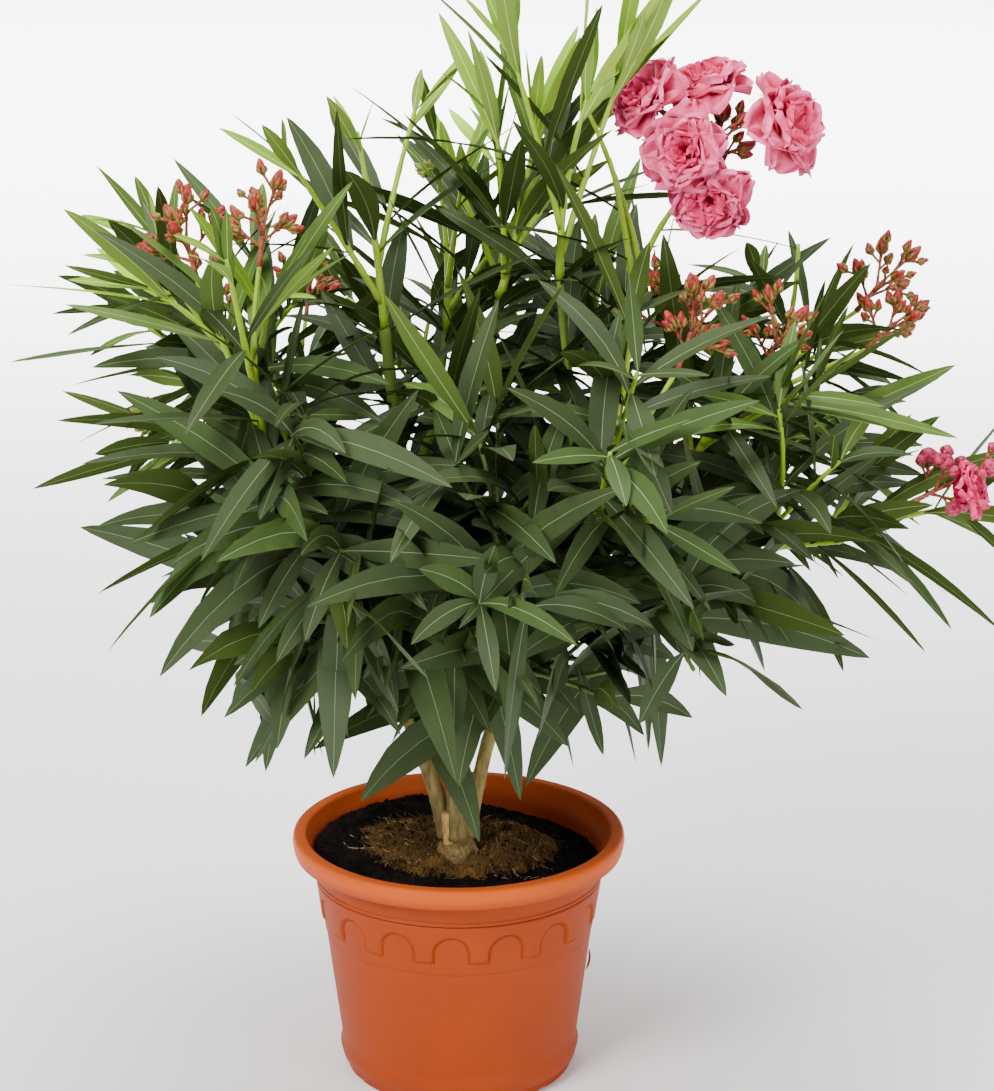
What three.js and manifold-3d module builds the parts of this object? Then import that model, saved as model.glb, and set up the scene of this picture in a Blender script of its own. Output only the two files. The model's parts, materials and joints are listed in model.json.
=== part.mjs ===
// A young double-flowered oleander bush, grown on several stems from one stump,
// in a round moulded pot full of soil. Millimetres, +Z up, origin at the centre
// of the pot's flat underside; the bush's front faces -Y.
import * as THREE from "three";
import { mergeVertices } from "three/addons/utils/BufferGeometryUtils.js";
import Module from "manifold-3d";

const wasm = await Module();
wasm.setup();

// ---- Driving dimensions ----

// Pot: a flared wall on a low foot, with a heavy rolled rim.
const potHeight = 195;
const rimOuterRadius = 130;
const rimInnerRadius = 119.4;
const rimDepth = 16;
const wallTopRadius = 115;
const wallFootRadius = 93.5;
const wallThickness = 2.6;
const footRadius = 89.5;
const footHeight = 10;
const floorThickness = 3;
const doubleBandHeight = 159;
const doubleBandWidth = 5;
const lowerBandHeight = 115;
const lowerBandWidth = 2.4;
const bandRelief = 0.9;
const potFacets = 32;
const drainSlots = 10;
const drainSlotWidth = 9;
const drainSlotHeight = 4;
const drainSlotDepth = 5;
const firstDrainBearing = -150;

// Soil: it fills the pot to a little under the rim, highest over the root ball.
const soilEdgeHeight = 171;
const rootBallHeight = 175;
const rootBallRadius = 72;
const rootBallTopRadius = 58;

// Stump: a short lobed foot that flares to the soil and carries the stems.
const stumpHeight = 22;
const stumpRadius = 12.5;
const stumpFlare = 5;
const stumpLobe = 0.16;
const stumpLean = 3;
const stumpX = -3;
const stumpY = -6;
const stumpSides = 12;
const stumpRings = 4;

// Wood and leaf sizes.
const clearance = 0.3;
const limbSides = 6;
const limbSteps = 5;
const limbTipRatio = 0.62;
const stemStiffness = 0.46;
const boughStiffness = 0.36;
const twigBaseRadius = 3.4;
const twigTipRadius = 1.7;
const twigStep = 42;
const sideShootRatio = 0.82;
const openWhorlGap = 82;
const closeWhorlGap = 56;
const rootStagger = 2.6;
const rootOffset = 0.9;
const leavesInWhorl = 3;
const bareTwigLength = 14;
const leaderSwerve = 24;
const ripeningLength = 150;
const bloomStalkLength = 26;
const youngLeafLength = 72;
const oldLeafLength = 138;
const youngLeafWidth = 15;
const oldLeafWidth = 25;
const leafThickness = 2.1;
const youngLeafAngle = 13;
const oldLeafAngle = 78;
const bladeStart = 0.2;
const leafTurns = [0, 22, -22, 44, -44];

// Blossom sizes.
const budLength = 17;
const budRadius = 4.6;
const budStalkRadius = 1.3;
const budsInCluster = 5;
const flowerRadius = 30;
const flowerDepth = 24;
const flowerPetals = 5;
const flowerStalkRadius = 1.6;

// Main stems leave the stump, and boughs leave a stem at a fraction of its run.
// Each ends where its foliage begins: [bearing in degrees, reach, height].
const limbs = [
  { name: "left", from: "stump", base: 6.4, end: [-172, 146, 523] },
  { name: "middle", from: "stump", base: 6.8, end: [175, 54, 591] },
  { name: "right", from: "stump", base: 5.6, end: [9, 131, 603] },
  { name: "back", from: "stump", base: 5.6, end: [95, 150, 450] },
  { name: "outer", from: "right", at: 0.3, base: 4.6, end: [-15, 226, 424] },
  { name: "left_front", from: "left", at: 0.52, base: 4.4, end: [-140, 173, 522] },
  { name: "left_back", from: "left", at: 0.66, base: 4, end: [166, 160, 474] },
  { name: "left_low", from: "left", at: 0.4, base: 4.2, end: [-127, 142, 440] },
  { name: "inner_low", from: "middle", at: 0.22, base: 4, end: [-160, 80, 338] },
  { name: "left_under", from: "left", at: 0.26, base: 4, end: [-106, 100, 362] },
  { name: "front", from: "middle", at: 0.4, base: 4.4, end: [-80, 132, 420] },
  { name: "back_centre", from: "middle", at: 0.55, base: 4.2, end: [96, 92, 574] },
  { name: "top", from: "middle", at: 0.64, base: 4.2, end: [32, 38, 612] },
  { name: "top_right", from: "right", at: 0.6, base: 4.2, end: [-15, 79, 632] },
  { name: "front_right", from: "right", at: 0.4, base: 4.4, end: [-54, 158, 461] },
  { name: "front_low", from: "right", at: 0.16, base: 4, end: [-64, 92, 335] },
  { name: "right_back", from: "right", at: 0.5, base: 4.2, end: [20, 240, 510] },
  { name: "right_upper", from: "outer", at: 0.48, base: 3.8, end: [-17, 178, 488] },
  { name: "right_middle", from: "outer", at: 0.36, base: 3.8, end: [18, 218, 440] },
  { name: "right_low", from: "outer", at: 0.6, base: 3.6, end: [-36, 170, 398] },
  { name: "back_left", from: "back", at: 0.36, base: 4.2, end: [137, 168, 466] },
  { name: "back_right", from: "back", at: 0.44, base: 4.2, end: [52, 166, 476] },
  { name: "back_low", from: "back", at: 0.24, base: 4, end: [106, 104, 350] },
  { name: "back_under", from: "back", at: 0.3, base: 4, end: [38, 108, 362] },
  { name: "back_top", from: "back", at: 0.6, base: 4, end: [70, 92, 600] },
];

// Masses of foliage, one on the end of each limb. tip is where its leading shoot
// ends, side counts the shoots that fork from it, turn sets where the first of
// them points, spread is how far they open, and droop is how far old leaves hang.
const masses = [
  { on: "left", tip: [-173, 226, 628], side: 2, turn: 300, spread: 40, droop: 0.35 },
  { on: "middle", tip: [180, 72, 738], side: 2, turn: 220, spread: 28, droop: 0.2 },
  { on: "right", tip: [3, 182, 706], side: 2, turn: 200, spread: 34, droop: 0.3, bloom: "open" },
  { on: "back", tip: [94, 240, 556], side: 3, turn: 20, spread: 46, droop: 0.5 },
  { on: "outer", tip: [-13, 344, 478], side: 2, turn: 30, spread: 40, droop: 0.5, bloom: "ripe" },
  { on: "left_front", tip: [-138, 181, 664], side: 2, turn: 75, spread: 28, droop: 0.3, bloom: "buds" },
  { on: "left_back", tip: [167, 232, 506], side: 2, turn: 10, spread: 44, droop: 0.5, bloom: "green" },
  { on: "left_low", tip: [-127, 208, 504], side: 3, turn: 120, spread: 50, droop: 0.8 },
  { on: "inner_low", tip: [-158, 150, 404], side: 3, turn: 60, spread: 54, droop: 0.95 },
  { on: "left_under", tip: [-112, 168, 430], side: 3, turn: 10, spread: 54, droop: 0.95 },
  { on: "front", tip: [-84, 163, 548], side: 2, turn: 160, spread: 46, droop: 0.7 },
  { on: "back_centre", tip: [98, 104, 684], side: 2, turn: 90, spread: 34, droop: 0.3, bloom: "green" },
  { on: "top", tip: [20, 62, 738], side: 2, turn: 210, spread: 26, droop: 0.2 },
  { on: "top_right", tip: [-12, 99, 770], side: 2, turn: 15, spread: 26, droop: 0.2 },
  { on: "front_right", tip: [-37, 198, 588], side: 2, turn: 150, spread: 34, droop: 0.55, bloom: "buds" },
  { on: "front_low", tip: [-66, 166, 402], side: 3, turn: 80, spread: 54, droop: 0.95 },
  { on: "right_back", tip: [18, 330, 588], side: 2, turn: 140, spread: 34, droop: 0.45, bloom: "buds" },
  { on: "right_upper", tip: [-15, 230, 574], side: 2, turn: 330, spread: 40, droop: 0.45, bloom: "buds" },
  { on: "right_middle", tip: [17, 292, 486], side: 2, turn: 250, spread: 44, droop: 0.55, bloom: "green" },
  { on: "right_low", tip: [-36, 244, 428], side: 3, turn: 45, spread: 52, droop: 0.9 },
  { on: "back_left", tip: [139, 254, 560], side: 3, turn: 100, spread: 42, droop: 0.5, bloom: "buds" },
  { on: "back_right", tip: [49, 250, 568], side: 3, turn: 240, spread: 42, droop: 0.5 },
  { on: "back_low", tip: [112, 180, 396], side: 3, turn: 70, spread: 54, droop: 0.95 },
  { on: "back_under", tip: [34, 186, 410], side: 3, turn: 20, spread: 54, droop: 0.95 },
  { on: "back_top", tip: [76, 118, 716], side: 2, turn: 180, spread: 32, droop: 0.3 },
];

// Open flowers round the truss: [bearing in degrees, reach, rise above the tip].
const openFlowers = [
  [-178, 58, 38],
  [150, 16, 48],
  [-8, 38, 24],
  [-126, 48, 2],
  [-100, 38, -38],
];

const up = new THREE.Vector3(0, 0, 1);
const degrees = Math.PI / 180;

// ---- Materials ----

const finish = (color, roughness) => (
  new THREE.MeshStandardMaterial({ color, roughness, metalness: 0 })
);
const terracottaPlastic = finish("#c5602f", 0.55);
const pottingSoil = finish("#2e241c", 0.95);
const stumpBark = finish("#8b7d55", 0.85);
const stemBark = finish("#7c7a4c", 0.8);
const leafGreen = finish("#3d5638", 0.5);
const shootGreen = finish("#6f9440", 0.5);

// ---- Seeded chance, the same for the same keys ----

function chance(...keys) {
  let h = 0x9e3779b9;
  for (const key of keys) {
    h = Math.imul(h ^ key, 0x85ebca6b) >>> 0;
    h = (h ^ (h >>> 13)) >>> 0;
    h = Math.imul(h, 0xc2b2ae35) >>> 0;
    h = (h ^ (h >>> 16)) >>> 0;
  }
  return h / 4294967296;
}

const mix = (a, b, t) => a + (b - a) * t;

// ---- Solids ----

function solidOf(geometry) {
  const bare = geometry.clone();
  bare.deleteAttribute("normal");
  bare.deleteAttribute("uv");
  const merged = mergeVertices(bare, 1e-4);
  return solidFrom(merged.attributes.position.array, merged.index.array);
}

function solidFrom(vertices, triangles) {
  const vertProperties = Float32Array.from(vertices);
  const triVerts = Uint32Array.from(triangles);
  return new wasm.Manifold(new wasm.Mesh({ numProp: 3, vertProperties, triVerts }));
}

function geometryOf(solid) {
  const mesh = solid.getMesh();
  const geometry = new THREE.BufferGeometry();
  geometry.setAttribute("position", new THREE.BufferAttribute(mesh.vertProperties, 3));
  geometry.setIndex(new THREE.BufferAttribute(mesh.triVerts, 1));
  geometry.computeVertexNormals();
  return geometry;
}

// The largest closed body of a solid, with no loose scraps and no sealed hollows.
function wholeBody(solid) {
  const bodies = solid.simplify(0.02).decompose();
  bodies.sort((a, b) => b.volume() - a.volume());
  return bodies[0];
}

// A closed skin over rings of points that all have the same count, each ring
// running anticlockwise when seen from the next one. One point ends in a tip.
function skinOver(rings) {
  const vertices = [];
  const starts = [];
  for (const ring of rings) {
    starts.push(vertices.length / 3);
    for (const point of ring) {
      vertices.push(point.x, point.y, point.z);
    }
  }
  const triangles = [];
  for (let r = 0; r + 1 < rings.length; r += 1) {
    joinRings(triangles, starts[r], rings[r].length, starts[r + 1], rings[r + 1].length);
  }
  capRing(triangles, starts[0], rings[0].length, true);
  capRing(triangles, starts[rings.length - 1], rings[rings.length - 1].length, false);
  return solidFrom(vertices, triangles);
}

function joinRings(triangles, low, lowCount, high, highCount) {
  const count = Math.max(lowCount, highCount);
  for (let i = 0; i < count; i += 1) {
    const j = (i + 1) % count;
    const lowI = low + (lowCount > 1 ? i : 0);
    const lowJ = low + (lowCount > 1 ? j : 0);
    const highI = high + (highCount > 1 ? i : 0);
    const highJ = high + (highCount > 1 ? j : 0);
    if (lowCount > 1) {
      triangles.push(lowI, lowJ, highJ);
    }
    if (highCount > 1) {
      triangles.push(lowI, highJ, highI);
    }
  }
}

function capRing(triangles, start, count, facesBack) {
  for (let i = 1; i + 1 < count; i += 1) {
    if (facesBack) {
      triangles.push(start, start + i + 1, start + i);
    } else {
      triangles.push(start, start + i, start + i + 1);
    }
  }
}

// A ring of points round a centre, square to an axis.
function ringRound(centre, axis, side, radius, sides) {
  const across = new THREE.Vector3().crossVectors(axis, side).normalize();
  const along = new THREE.Vector3().crossVectors(across, axis).normalize();
  const ring = [];
  for (let i = 0; i < sides; i += 1) {
    const angle = (2 * Math.PI * i) / sides;
    ring.push(
      centre.clone()
        .addScaledVector(along, radius * Math.cos(angle))
        .addScaledVector(across, radius * Math.sin(angle)),
    );
  }
  return ring;
}

// A round limb that tapers along a curve.
function taperedLimb(curve, startRadius, endRadius, sides, steps) {
  const rings = [];
  const side = new THREE.Vector3(0.31, -0.95, 0.07);
  for (let i = 0; i <= steps; i += 1) {
    const t = i / steps;
    const radius = mix(startRadius, endRadius, t);
    rings.push(ringRound(curve.getPoint(t), curve.getTangent(t), side, radius, sides));
  }
  return skinOver(rings);
}

const at = ([bearing, reach, height]) => new THREE.Vector3(
  reach * Math.cos(bearing * degrees),
  reach * Math.sin(bearing * degrees),
  height,
);

// A curve that leaves its start along one heading and arrives along another.
function bentCurve(start, heading, end, arrival, stiffness) {
  const span = start.distanceTo(end);
  return new THREE.CubicBezierCurve3(
    start,
    start.clone().addScaledVector(heading, span * stiffness),
    end.clone().addScaledVector(arrival, -span * 0.32),
    end,
  );
}

// A curve that leaves its start along a heading and bends once to its end.
function sprungCurve(start, heading, end) {
  const span = start.distanceTo(end);
  return new THREE.QuadraticBezierCurve3(start, start.clone().addScaledVector(heading, span * 0.5), end);
}

// ---- Pot ----

const wallRadiusAt = (height) => mix(
  wallFootRadius,
  wallTopRadius,
  (height - footHeight) / (potHeight - rimDepth - footHeight),
);

function latheAboutZ(profile) {
  const points = profile.map(([radius, height]) => new THREE.Vector2(radius, height));
  const geometry = new THREE.LatheGeometry(points, potFacets);
  geometry.rotateX(Math.PI / 2);
  return geometry;
}

function raisedBand(height, width) {
  const top = height + width / 2;
  const bottom = height - width / 2;
  return [
    [wallRadiusAt(bottom), bottom],
    [wallRadiusAt(height) + bandRelief, height],
    [wallRadiusAt(top), top],
  ];
}

function potSolid() {
  const rimBottom = potHeight - rimDepth;
  const innerAt = (height) => wallRadiusAt(height) - wallThickness;
  const shell = solidOf(latheAboutZ([
    [0, 0],
    [footRadius - 1, 0],
    [footRadius, footHeight - 0.6],
    [wallFootRadius, footHeight + 1],
    ...raisedBand(lowerBandHeight, lowerBandWidth),
    ...raisedBand(doubleBandHeight, doubleBandWidth),
    [wallTopRadius, rimBottom + 1],
    [rimOuterRadius - 3, rimBottom],
    [rimOuterRadius, potHeight - 8],
    [rimOuterRadius - 1.6, potHeight - 2.6],
    [rimOuterRadius - 5, potHeight],
    [rimInnerRadius + 1, potHeight - 1.6],
    [rimInnerRadius - 1.6, potHeight - 11],
    [innerAt(rimBottom - 4), rimBottom - 4],
    [footRadius - wallThickness, footHeight],
    [footRadius - wallThickness - 4, floorThickness],
    [0, floorThickness],
  ]));
  let pot = shell;
  for (let i = 0; i < drainSlots; i += 1) {
    const slot = new THREE.BoxGeometry(drainSlotDepth * 2, drainSlotWidth, drainSlotHeight * 2);
    slot.translate(footRadius, 0, 0);
    slot.rotateZ((firstDrainBearing + (360 * i) / drainSlots) * degrees);
    pot = pot.subtract(solidOf(slot));
  }
  return pot;
}

// ---- Soil ----

function soilSolid() {
  const innerAt = (height) => wallRadiusAt(height) - wallThickness - clearance * 1.3;
  return solidOf(latheAboutZ([
    [0, floorThickness + clearance],
    [footRadius - wallThickness - 4.8, floorThickness + clearance],
    [footRadius - wallThickness - 0.6, footHeight + 0.4],
    [innerAt(potHeight - rimDepth - 4) - 0.5, soilEdgeHeight],
    [rootBallRadius, soilEdgeHeight - 1],
    [rootBallTopRadius, rootBallHeight],
    [0, rootBallHeight],
  ]));
}

// ---- Stump ----

const stumpFoot = rootBallHeight + clearance;
const stumpTop = stumpFoot + stumpHeight;

function stumpSolid(extra) {
  const rings = [];
  for (let i = 0; i <= stumpRings; i += 1) {
    const t = i / stumpRings;
    const flare = stumpFlare * (1 - t) ** 2.4;
    const lobes = stumpLobe * (0.35 + 0.65 * t);
    const ring = [];
    for (let s = 0; s < stumpSides; s += 1) {
      const angle = (2 * Math.PI * s) / stumpSides;
      const radius = (stumpRadius + flare) * (1 + lobes * Math.cos(3 * angle + 0.6)) + extra;
      ring.push(new THREE.Vector3(
        stumpX + stumpLean * t + radius * Math.cos(angle),
        stumpY + radius * Math.sin(angle),
        mix(stumpFoot, stumpTop + extra, t),
      ));
    }
    rings.push(ring);
  }
  return skinOver(rings);
}

// ---- Limbs ----

// Stems stand in a ring on the stump's flat top, [x, y] off its middle, and lean
// away from it by an angle in degrees.
const stemSeatDepth = 5;
const stemSeats = {
  left: [-9, -1, -12],
  middle: [-1, -7, -2],
  right: [7, -1, 10],
  back: [-1, 8, 2],
};

function limbCurves() {
  const curves = {};
  for (const limb of limbs) {
    const end = at(limb.end);
    if (limb.from === "stump") {
      const [x, y, lean] = stemSeats[limb.name];
      const start = new THREE.Vector3(stumpX + stumpLean + x, stumpY + y, stumpTop - stemSeatDepth);
      const outward = new THREE.Vector3(Math.sin(lean * degrees), y * 0.012, Math.cos(lean * degrees));
      const arrival = end.clone().sub(start).normalize().multiplyScalar(0.7).addScaledVector(up, 0.5);
      curves[limb.name] = bentCurve(start, outward.normalize(), end, arrival.normalize(), stemStiffness);
    } else {
      const parent = curves[limb.from];
      const start = parent.getPoint(limb.at);
      const towards = end.clone().sub(start).normalize();
      const heading = parent.getTangent(limb.at).multiplyScalar(0.55).addScaledVector(towards, 0.75);
      const arrival = towards.clone().multiplyScalar(0.8).addScaledVector(up, 0.42);
      curves[limb.name] = bentCurve(start, heading.normalize(), end, arrival.normalize(), boughStiffness);
    }
  }
  return curves;
}

const curveOf = limbCurves();
const limbNamed = Object.fromEntries(limbs.map((limb) => [limb.name, limb]));
const limbNode = (limb) => limb.name + (limb.from === "stump" ? "_stem" : "_bough");

function limbShape(name, extra) {
  const limb = limbNamed[name];
  const tip = limb.base * limbTipRatio;
  return taperedLimb(curveOf[name], limb.base + extra, tip + extra, limbSides, limbSteps);
}

// A bough is cut back from the stem that carries it, so they meet just clear.
function limbSolids() {
  const solids = {};
  for (const limb of limbs) {
    let solid = limbShape(limb.name, 0);
    if (limb.from === "stump") {
      solid = solid.subtract(stumpSolid(clearance));
    } else {
      solid = solid.subtract(limbShape(limb.from, clearance));
    }
    for (const other of Object.keys(solids)) {
      if (other !== limb.from) {
        solid = solid.subtract(limbShape(other, clearance));
      }
    }
    solids[limb.name] = wholeBody(solid);
  }
  return solids;
}

// ---- Shoots ----

// A direction tilted from an axis by an angle, at a turn round that axis.
function tilted(axis, angle, turn) {
  const side = Math.abs(axis.z) < 0.95 ? up : new THREE.Vector3(1, 0, 0);
  const across = new THREE.Vector3().crossVectors(axis, side).normalize();
  const along = new THREE.Vector3().crossVectors(across, axis).normalize();
  return axis.clone().multiplyScalar(Math.cos(angle))
    .addScaledVector(along, Math.sin(angle) * Math.cos(turn))
    .addScaledVector(across, Math.sin(angle) * Math.sin(turn));
}

// The leading shoot grows on from the limb's tip, and side shoots fork from it.
function shootsOf(mass, number) {
  const limbCurve = curveOf[mass.on];
  const heading = limbCurve.getTangent(1);
  const start = limbCurve.getPoint(1).addScaledVector(heading, clearance);
  const tip = at(mass.tip);
  const leader = { curve: sprungCurve(start, heading, tip), bloom: mass.bloom, number: 0, thick: 1 };
  for (let turn = 0; turn < 360 && !clearOfAll(shootSolid(leader, clearance * 2)); turn += 60) {
    leader.curve = sprungCurve(start, tilted(heading, leaderSwerve * degrees, turn * degrees), tip);
  }
  const shoots = [leader];
  const run = start.distanceTo(tip);
  for (let j = 0; j < mass.side; j += 1) {
    const fork = 0.07 + 0.2 * j + 0.06 * chance(number, j, 1);
    const root = leader.curve.getPoint(fork);
    const axis = leader.curve.getTangent(fork);
    const spread = mass.spread * (0.85 + 0.4 * chance(number, j, 2)) * degrees;
    const turn = (mass.turn + (360 / mass.side) * j + 30 * (chance(number, j, 3) - 0.5)) * degrees;
    const towards = tilted(axis, spread, turn);
    const length = run * sideShootRatio * (0.85 + 0.3 * chance(number, j, 4));
    const lift = mix(0.24, 0.02, mass.droop) * length;
    const end = root.clone().addScaledVector(towards, length).addScaledVector(up, lift);
    const bloom = j === 0 && mass.bloom === "buds" ? "buds" : undefined;
    const lead = axis.clone().multiplyScalar(0.3).add(towards).normalize();
    shoots.push({ curve: sprungCurve(root, lead, end), bloom, number: j + 1, thick: 0.85 });
  }
  return shoots;
}

function shootSolid(shoot, extra) {
  const steps = Math.max(2, Math.round(shoot.curve.getLength() / twigStep));
  const base = twigBaseRadius * shoot.thick + extra;
  return taperedLimb(shoot.curve, base, twigTipRadius + extra, 3, steps);
}

// ---- Leaves ----

// Each leaf of a shoot, from the tip down: whorls of three, each turned between
// the last, short and upright at the tip, long and spread or hanging lower down.
function leavesOf(shoot, mass, number) {
  const leaves = [];
  const length = shoot.curve.getLength();
  const whorlGap = mix(openWhorlGap, closeWhorlGap, mass.droop);
  const topGap = shoot.bloom ? bloomStalkLength : 2;
  for (let k = 0; topGap + k * whorlGap < length - bareTwigLength; k += 1) {
    const fromTip = topGap + k * whorlGap;
    const where = 1 - fromTip / length;
    const age = Math.min(1, fromTip / ripeningLength + Math.max(0, 0.7 * mass.droop - 0.2));
    const axis = shoot.curve.getTangent(where);
    const root = shoot.curve.getPoint(where);
    const phase = 120 * chance(number, shoot.number, 7);
    for (let i = 0; i < leavesInWhorl; i += 1) {
      const keys = [number, shoot.number, 2 * k, i];
      const angle = mix(youngLeafAngle, oldLeafAngle, age ** 0.7) + 16 * (chance(...keys, 1) - 0.5);
      const turn = phase + 120 * i + 60 * k + 24 * (chance(...keys, 2) - 0.5);
      leaves.push({
        root: root.clone().addScaledVector(axis, (i - 1) * rootStagger),
        axis,
        angle,
        turn,
        length: mix(youngLeafLength, oldLeafLength, age ** 0.6) * (0.86 + 0.26 * chance(...keys, 3)),
        width: mix(youngLeafWidth, oldLeafWidth, age ** 0.6) * (0.88 + 0.24 * chance(...keys, 4)),
        droop: mass.droop * (0.25 + 0.75 * age) * (0.6 + 0.8 * chance(...keys, 5)),
        young: k === 0 && mass.droop < 0.6,
        rank: k * 3 + shoot.number,
      });
    }
  }
  return leaves;
}

// A lance-shaped blade on a bent midrib: flat on top, with a keel underneath.
// grown widens it for clearance tests, and from leaves out its rooted end.
function leafSolid(leaf, turnBy, grown, from) {
  const out = tilted(leaf.axis, leaf.angle * degrees, (leaf.turn + turnBy) * degrees);
  const hanging = out.clone().addScaledVector(up, -leaf.droop * 1.5).normalize();
  const base = leaf.root.clone().addScaledVector(out, rootOffset);
  const bend = base.clone().addScaledVector(out, leaf.length * 0.42);
  const tip = bend.clone().addScaledVector(hanging, leaf.length * 0.6);
  const midrib = new THREE.QuadraticBezierCurve3(base, bend, tip);
  const half = leaf.width / 2;
  const widest = [0.5, half];
  const stations = leaf.young ? [widest] : [[0.14, half * 0.5], widest];
  const rings = [[midrib.getPoint(from)]];
  for (const [t, reach] of stations) {
    const along = midrib.getTangent(t);
    const face = leaf.axis.clone().addScaledVector(along, -leaf.axis.dot(along)).normalize();
    const across = new THREE.Vector3().crossVectors(along, face).normalize();
    const centre = midrib.getPoint(Math.max(t, from + 0.04)).addScaledVector(face, grown);
    rings.push([
      centre.clone().addScaledVector(across, reach + grown),
      centre.clone().addScaledVector(face, -leafThickness - grown * 2),
      centre.clone().addScaledVector(across, -reach - grown),
    ]);
  }
  rings.push([midrib.getPoint(1).addScaledVector(midrib.getTangent(1), grown)]);
  return skinOver(rings);
}

// ---- Blossom ----

function stalk(from, to, radius) {
  return taperedLimb(new THREE.LineCurve3(from, to), radius, radius, 3, 1);
}

// A fan of stalked buds up the last stretch of the shoot's own flower stalk. A
// bud and its stalk are one piece: a thin neck that swells and ends in a point.
function budCluster(shoot, number, bloom) {
  const solids = [];
  const tip = shoot.curve.getPoint(1);
  const axis = shoot.curve.getTangent(1).addScaledVector(up, 0.6).normalize();
  const rise = bloom === "green" ? 14 : 26;
  const head = tip.clone().addScaledVector(axis, rise);
  const side = new THREE.Vector3(0.6, 0.2, -0.77);
  const swell = bloom === "ripe" ? 1.7 : 1;
  solids.push(stalk(tip.clone().addScaledVector(axis, -4), head, budStalkRadius * 1.2));
  for (let i = 0; i < budsInCluster; i += 1) {
    const down = i / budsInCluster;
    const root = head.clone().addScaledVector(axis, -2 - down * rise * 0.7);
    const open = 8 + 52 * Math.sqrt(down) + 10 * chance(number, shoot.number, 30 + i);
    const towards = tilted(axis, open * degrees, (i * 137.5 + 360 * chance(number, 9)) * degrees);
    const neck = (bloom === "green" ? 9 : 15) * (0.8 + 0.8 * chance(number, shoot.number, 40 + i));
    const size = (bloom === "green" ? 0.62 : 0.8) + 0.35 * chance(number, shoot.number, 50 + i);
    const widest = root.clone().addScaledVector(towards, neck + budLength * size * 0.55);
    const end = root.clone().addScaledVector(towards, neck + budLength * size);
    solids.push(skinOver([
      [root.clone().addScaledVector(towards, -budStalkRadius)],
      ringRound(root.clone().addScaledVector(towards, neck), towards, side, budStalkRadius, 3),
      ringRound(widest, towards, side, budRadius * size * swell, 3),
      [end],
    ]));
  }
  return solids;
}

// A double flower: a cup whose ruffled brim turns out in five lobes.
function doubleFlower(base, axis, phase) {
  const rings = [[base.clone()]];
  const side = new THREE.Vector3(0.5, 0.6, -0.62);
  const count = flowerPetals * 2;
  const profile = [
    [0.34, 0.4, 0],
    [1, 0.72, 0.14],
    [0.55, 1, -0.06],
  ];
  for (const [reach, rise, ruffle] of profile) {
    const centre = base.clone().addScaledVector(axis, flowerDepth * rise);
    const ring = ringRound(centre, axis, side, flowerRadius * reach, count);
    ring.forEach((point, i) => {
      const swing = ruffle * Math.cos(Math.PI * i + phase * 0.2);
      point.sub(centre).multiplyScalar(1 + swing).add(centre);
      point.addScaledVector(axis, -flowerDepth * swing * 0.8);
    });
    rings.push(ring);
  }
  rings.push([base.clone().addScaledVector(axis, flowerDepth * 0.92)]);
  return skinOver(rings);
}

// The open truss: five double flowers round one head, with late buds between.
function openTruss(shoot, number) {
  const solids = budCluster(shoot, number, "buds");
  const tip = shoot.curve.getPoint(1);
  const head = tip.clone().addScaledVector(up, 10);
  openFlowers.forEach((place, i) => {
    const centre = head.clone().add(at(place));
    const axis = centre.clone().sub(head).normalize().add(new THREE.Vector3(0, -0.75, 0.15)).normalize();
    const base = centre.clone().addScaledVector(axis, -flowerDepth * 0.55);
    solids.push(stalk(head, base.clone().addScaledVector(axis, 3), flowerStalkRadius));
    solids.push(doubleFlower(base, axis, i));
  });
  const foot = tip.clone().addScaledVector(up, -4);
  solids.push(stalk(foot, head.clone().addScaledVector(up, 3), flowerStalkRadius * 1.4));
  return solids;
}

function blossomOf(shoot, number) {
  if (shoot.bloom === "open") {
    return openTruss(shoot, number);
  }
  return shoot.bloom ? budCluster(shoot, number, shoot.bloom) : [];
}

// ---- Keeping each mass to its own space ----

const standing = [];

function boxesMeet(a, b) {
  for (let i = 0; i < 3; i += 1) {
    if (a.min[i] > b.max[i] || b.min[i] > a.max[i]) {
      return false;
    }
  }
  return true;
}

function stand(solid, owner) {
  standing.push({ solid, owner, box: solid.boundingBox() });
}

// Whether a trial solid touches anything that stands and passes the filter.
function touches(trial, counts) {
  const box = trial.boundingBox();
  for (const other of standing) {
    if (counts(other) && boxesMeet(box, other.box)) {
      const shared = trial.intersect(other.solid);
      const volume = shared.volume();
      shared.delete();
      if (volume > 1e-4) {
        return true;
      }
    }
  }
  return false;
}

const clearOfAll = (solid) => !touches(solid, () => true);

// ---- Assembly ----

const oleander = new THREE.Group();

function addPart(name, solid, material) {
  const mesh = new THREE.Mesh(geometryOf(solid), material);
  mesh.name = name;
  oleander.add(mesh);
}

const pot = potSolid();
const soil = soilSolid();
const stump = stumpSolid(0);
const limbSolid = limbSolids();
addPart("pot", pot, terracottaPlastic);
addPart("soil", soil, pottingSoil);
addPart("trunk", stump, stumpBark);
for (const limb of limbs) {
  addPart(limbNode(limb), limbSolid[limb.name], stemBark);
  stand(limbSolid[limb.name], limbNode(limb));
}
stand(pot, "pot");
stand(soil, "soil");
stand(stump, "trunk");

// Shoots and blossom of every mass stand first. A shoot that would touch another
// mass or a limb is left out, and a leading shoot swerves round it instead.
const grownMasses = masses.map((mass, number) => {
  const node = mass.on + "_foliage";
  const pieces = [];
  const shoots = [];
  const clear = (solid) => !touches(solid, (other) => other.owner !== node);
  for (const shoot of shootsOf(mass, number)) {
    const blossom = blossomOf(shoot, number);
    const fits = clear(shootSolid(shoot, clearance * 2)) && blossom.every(clear);
    if (fits || shoot.number === 0) {
      shoots.push(shoot);
      pieces.push(shootSolid(shoot, 0), ...blossom);
    }
  }
  pieces.forEach((piece) => stand(piece, node));
  return { mass, number, node, shoots, pieces };
});

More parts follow.
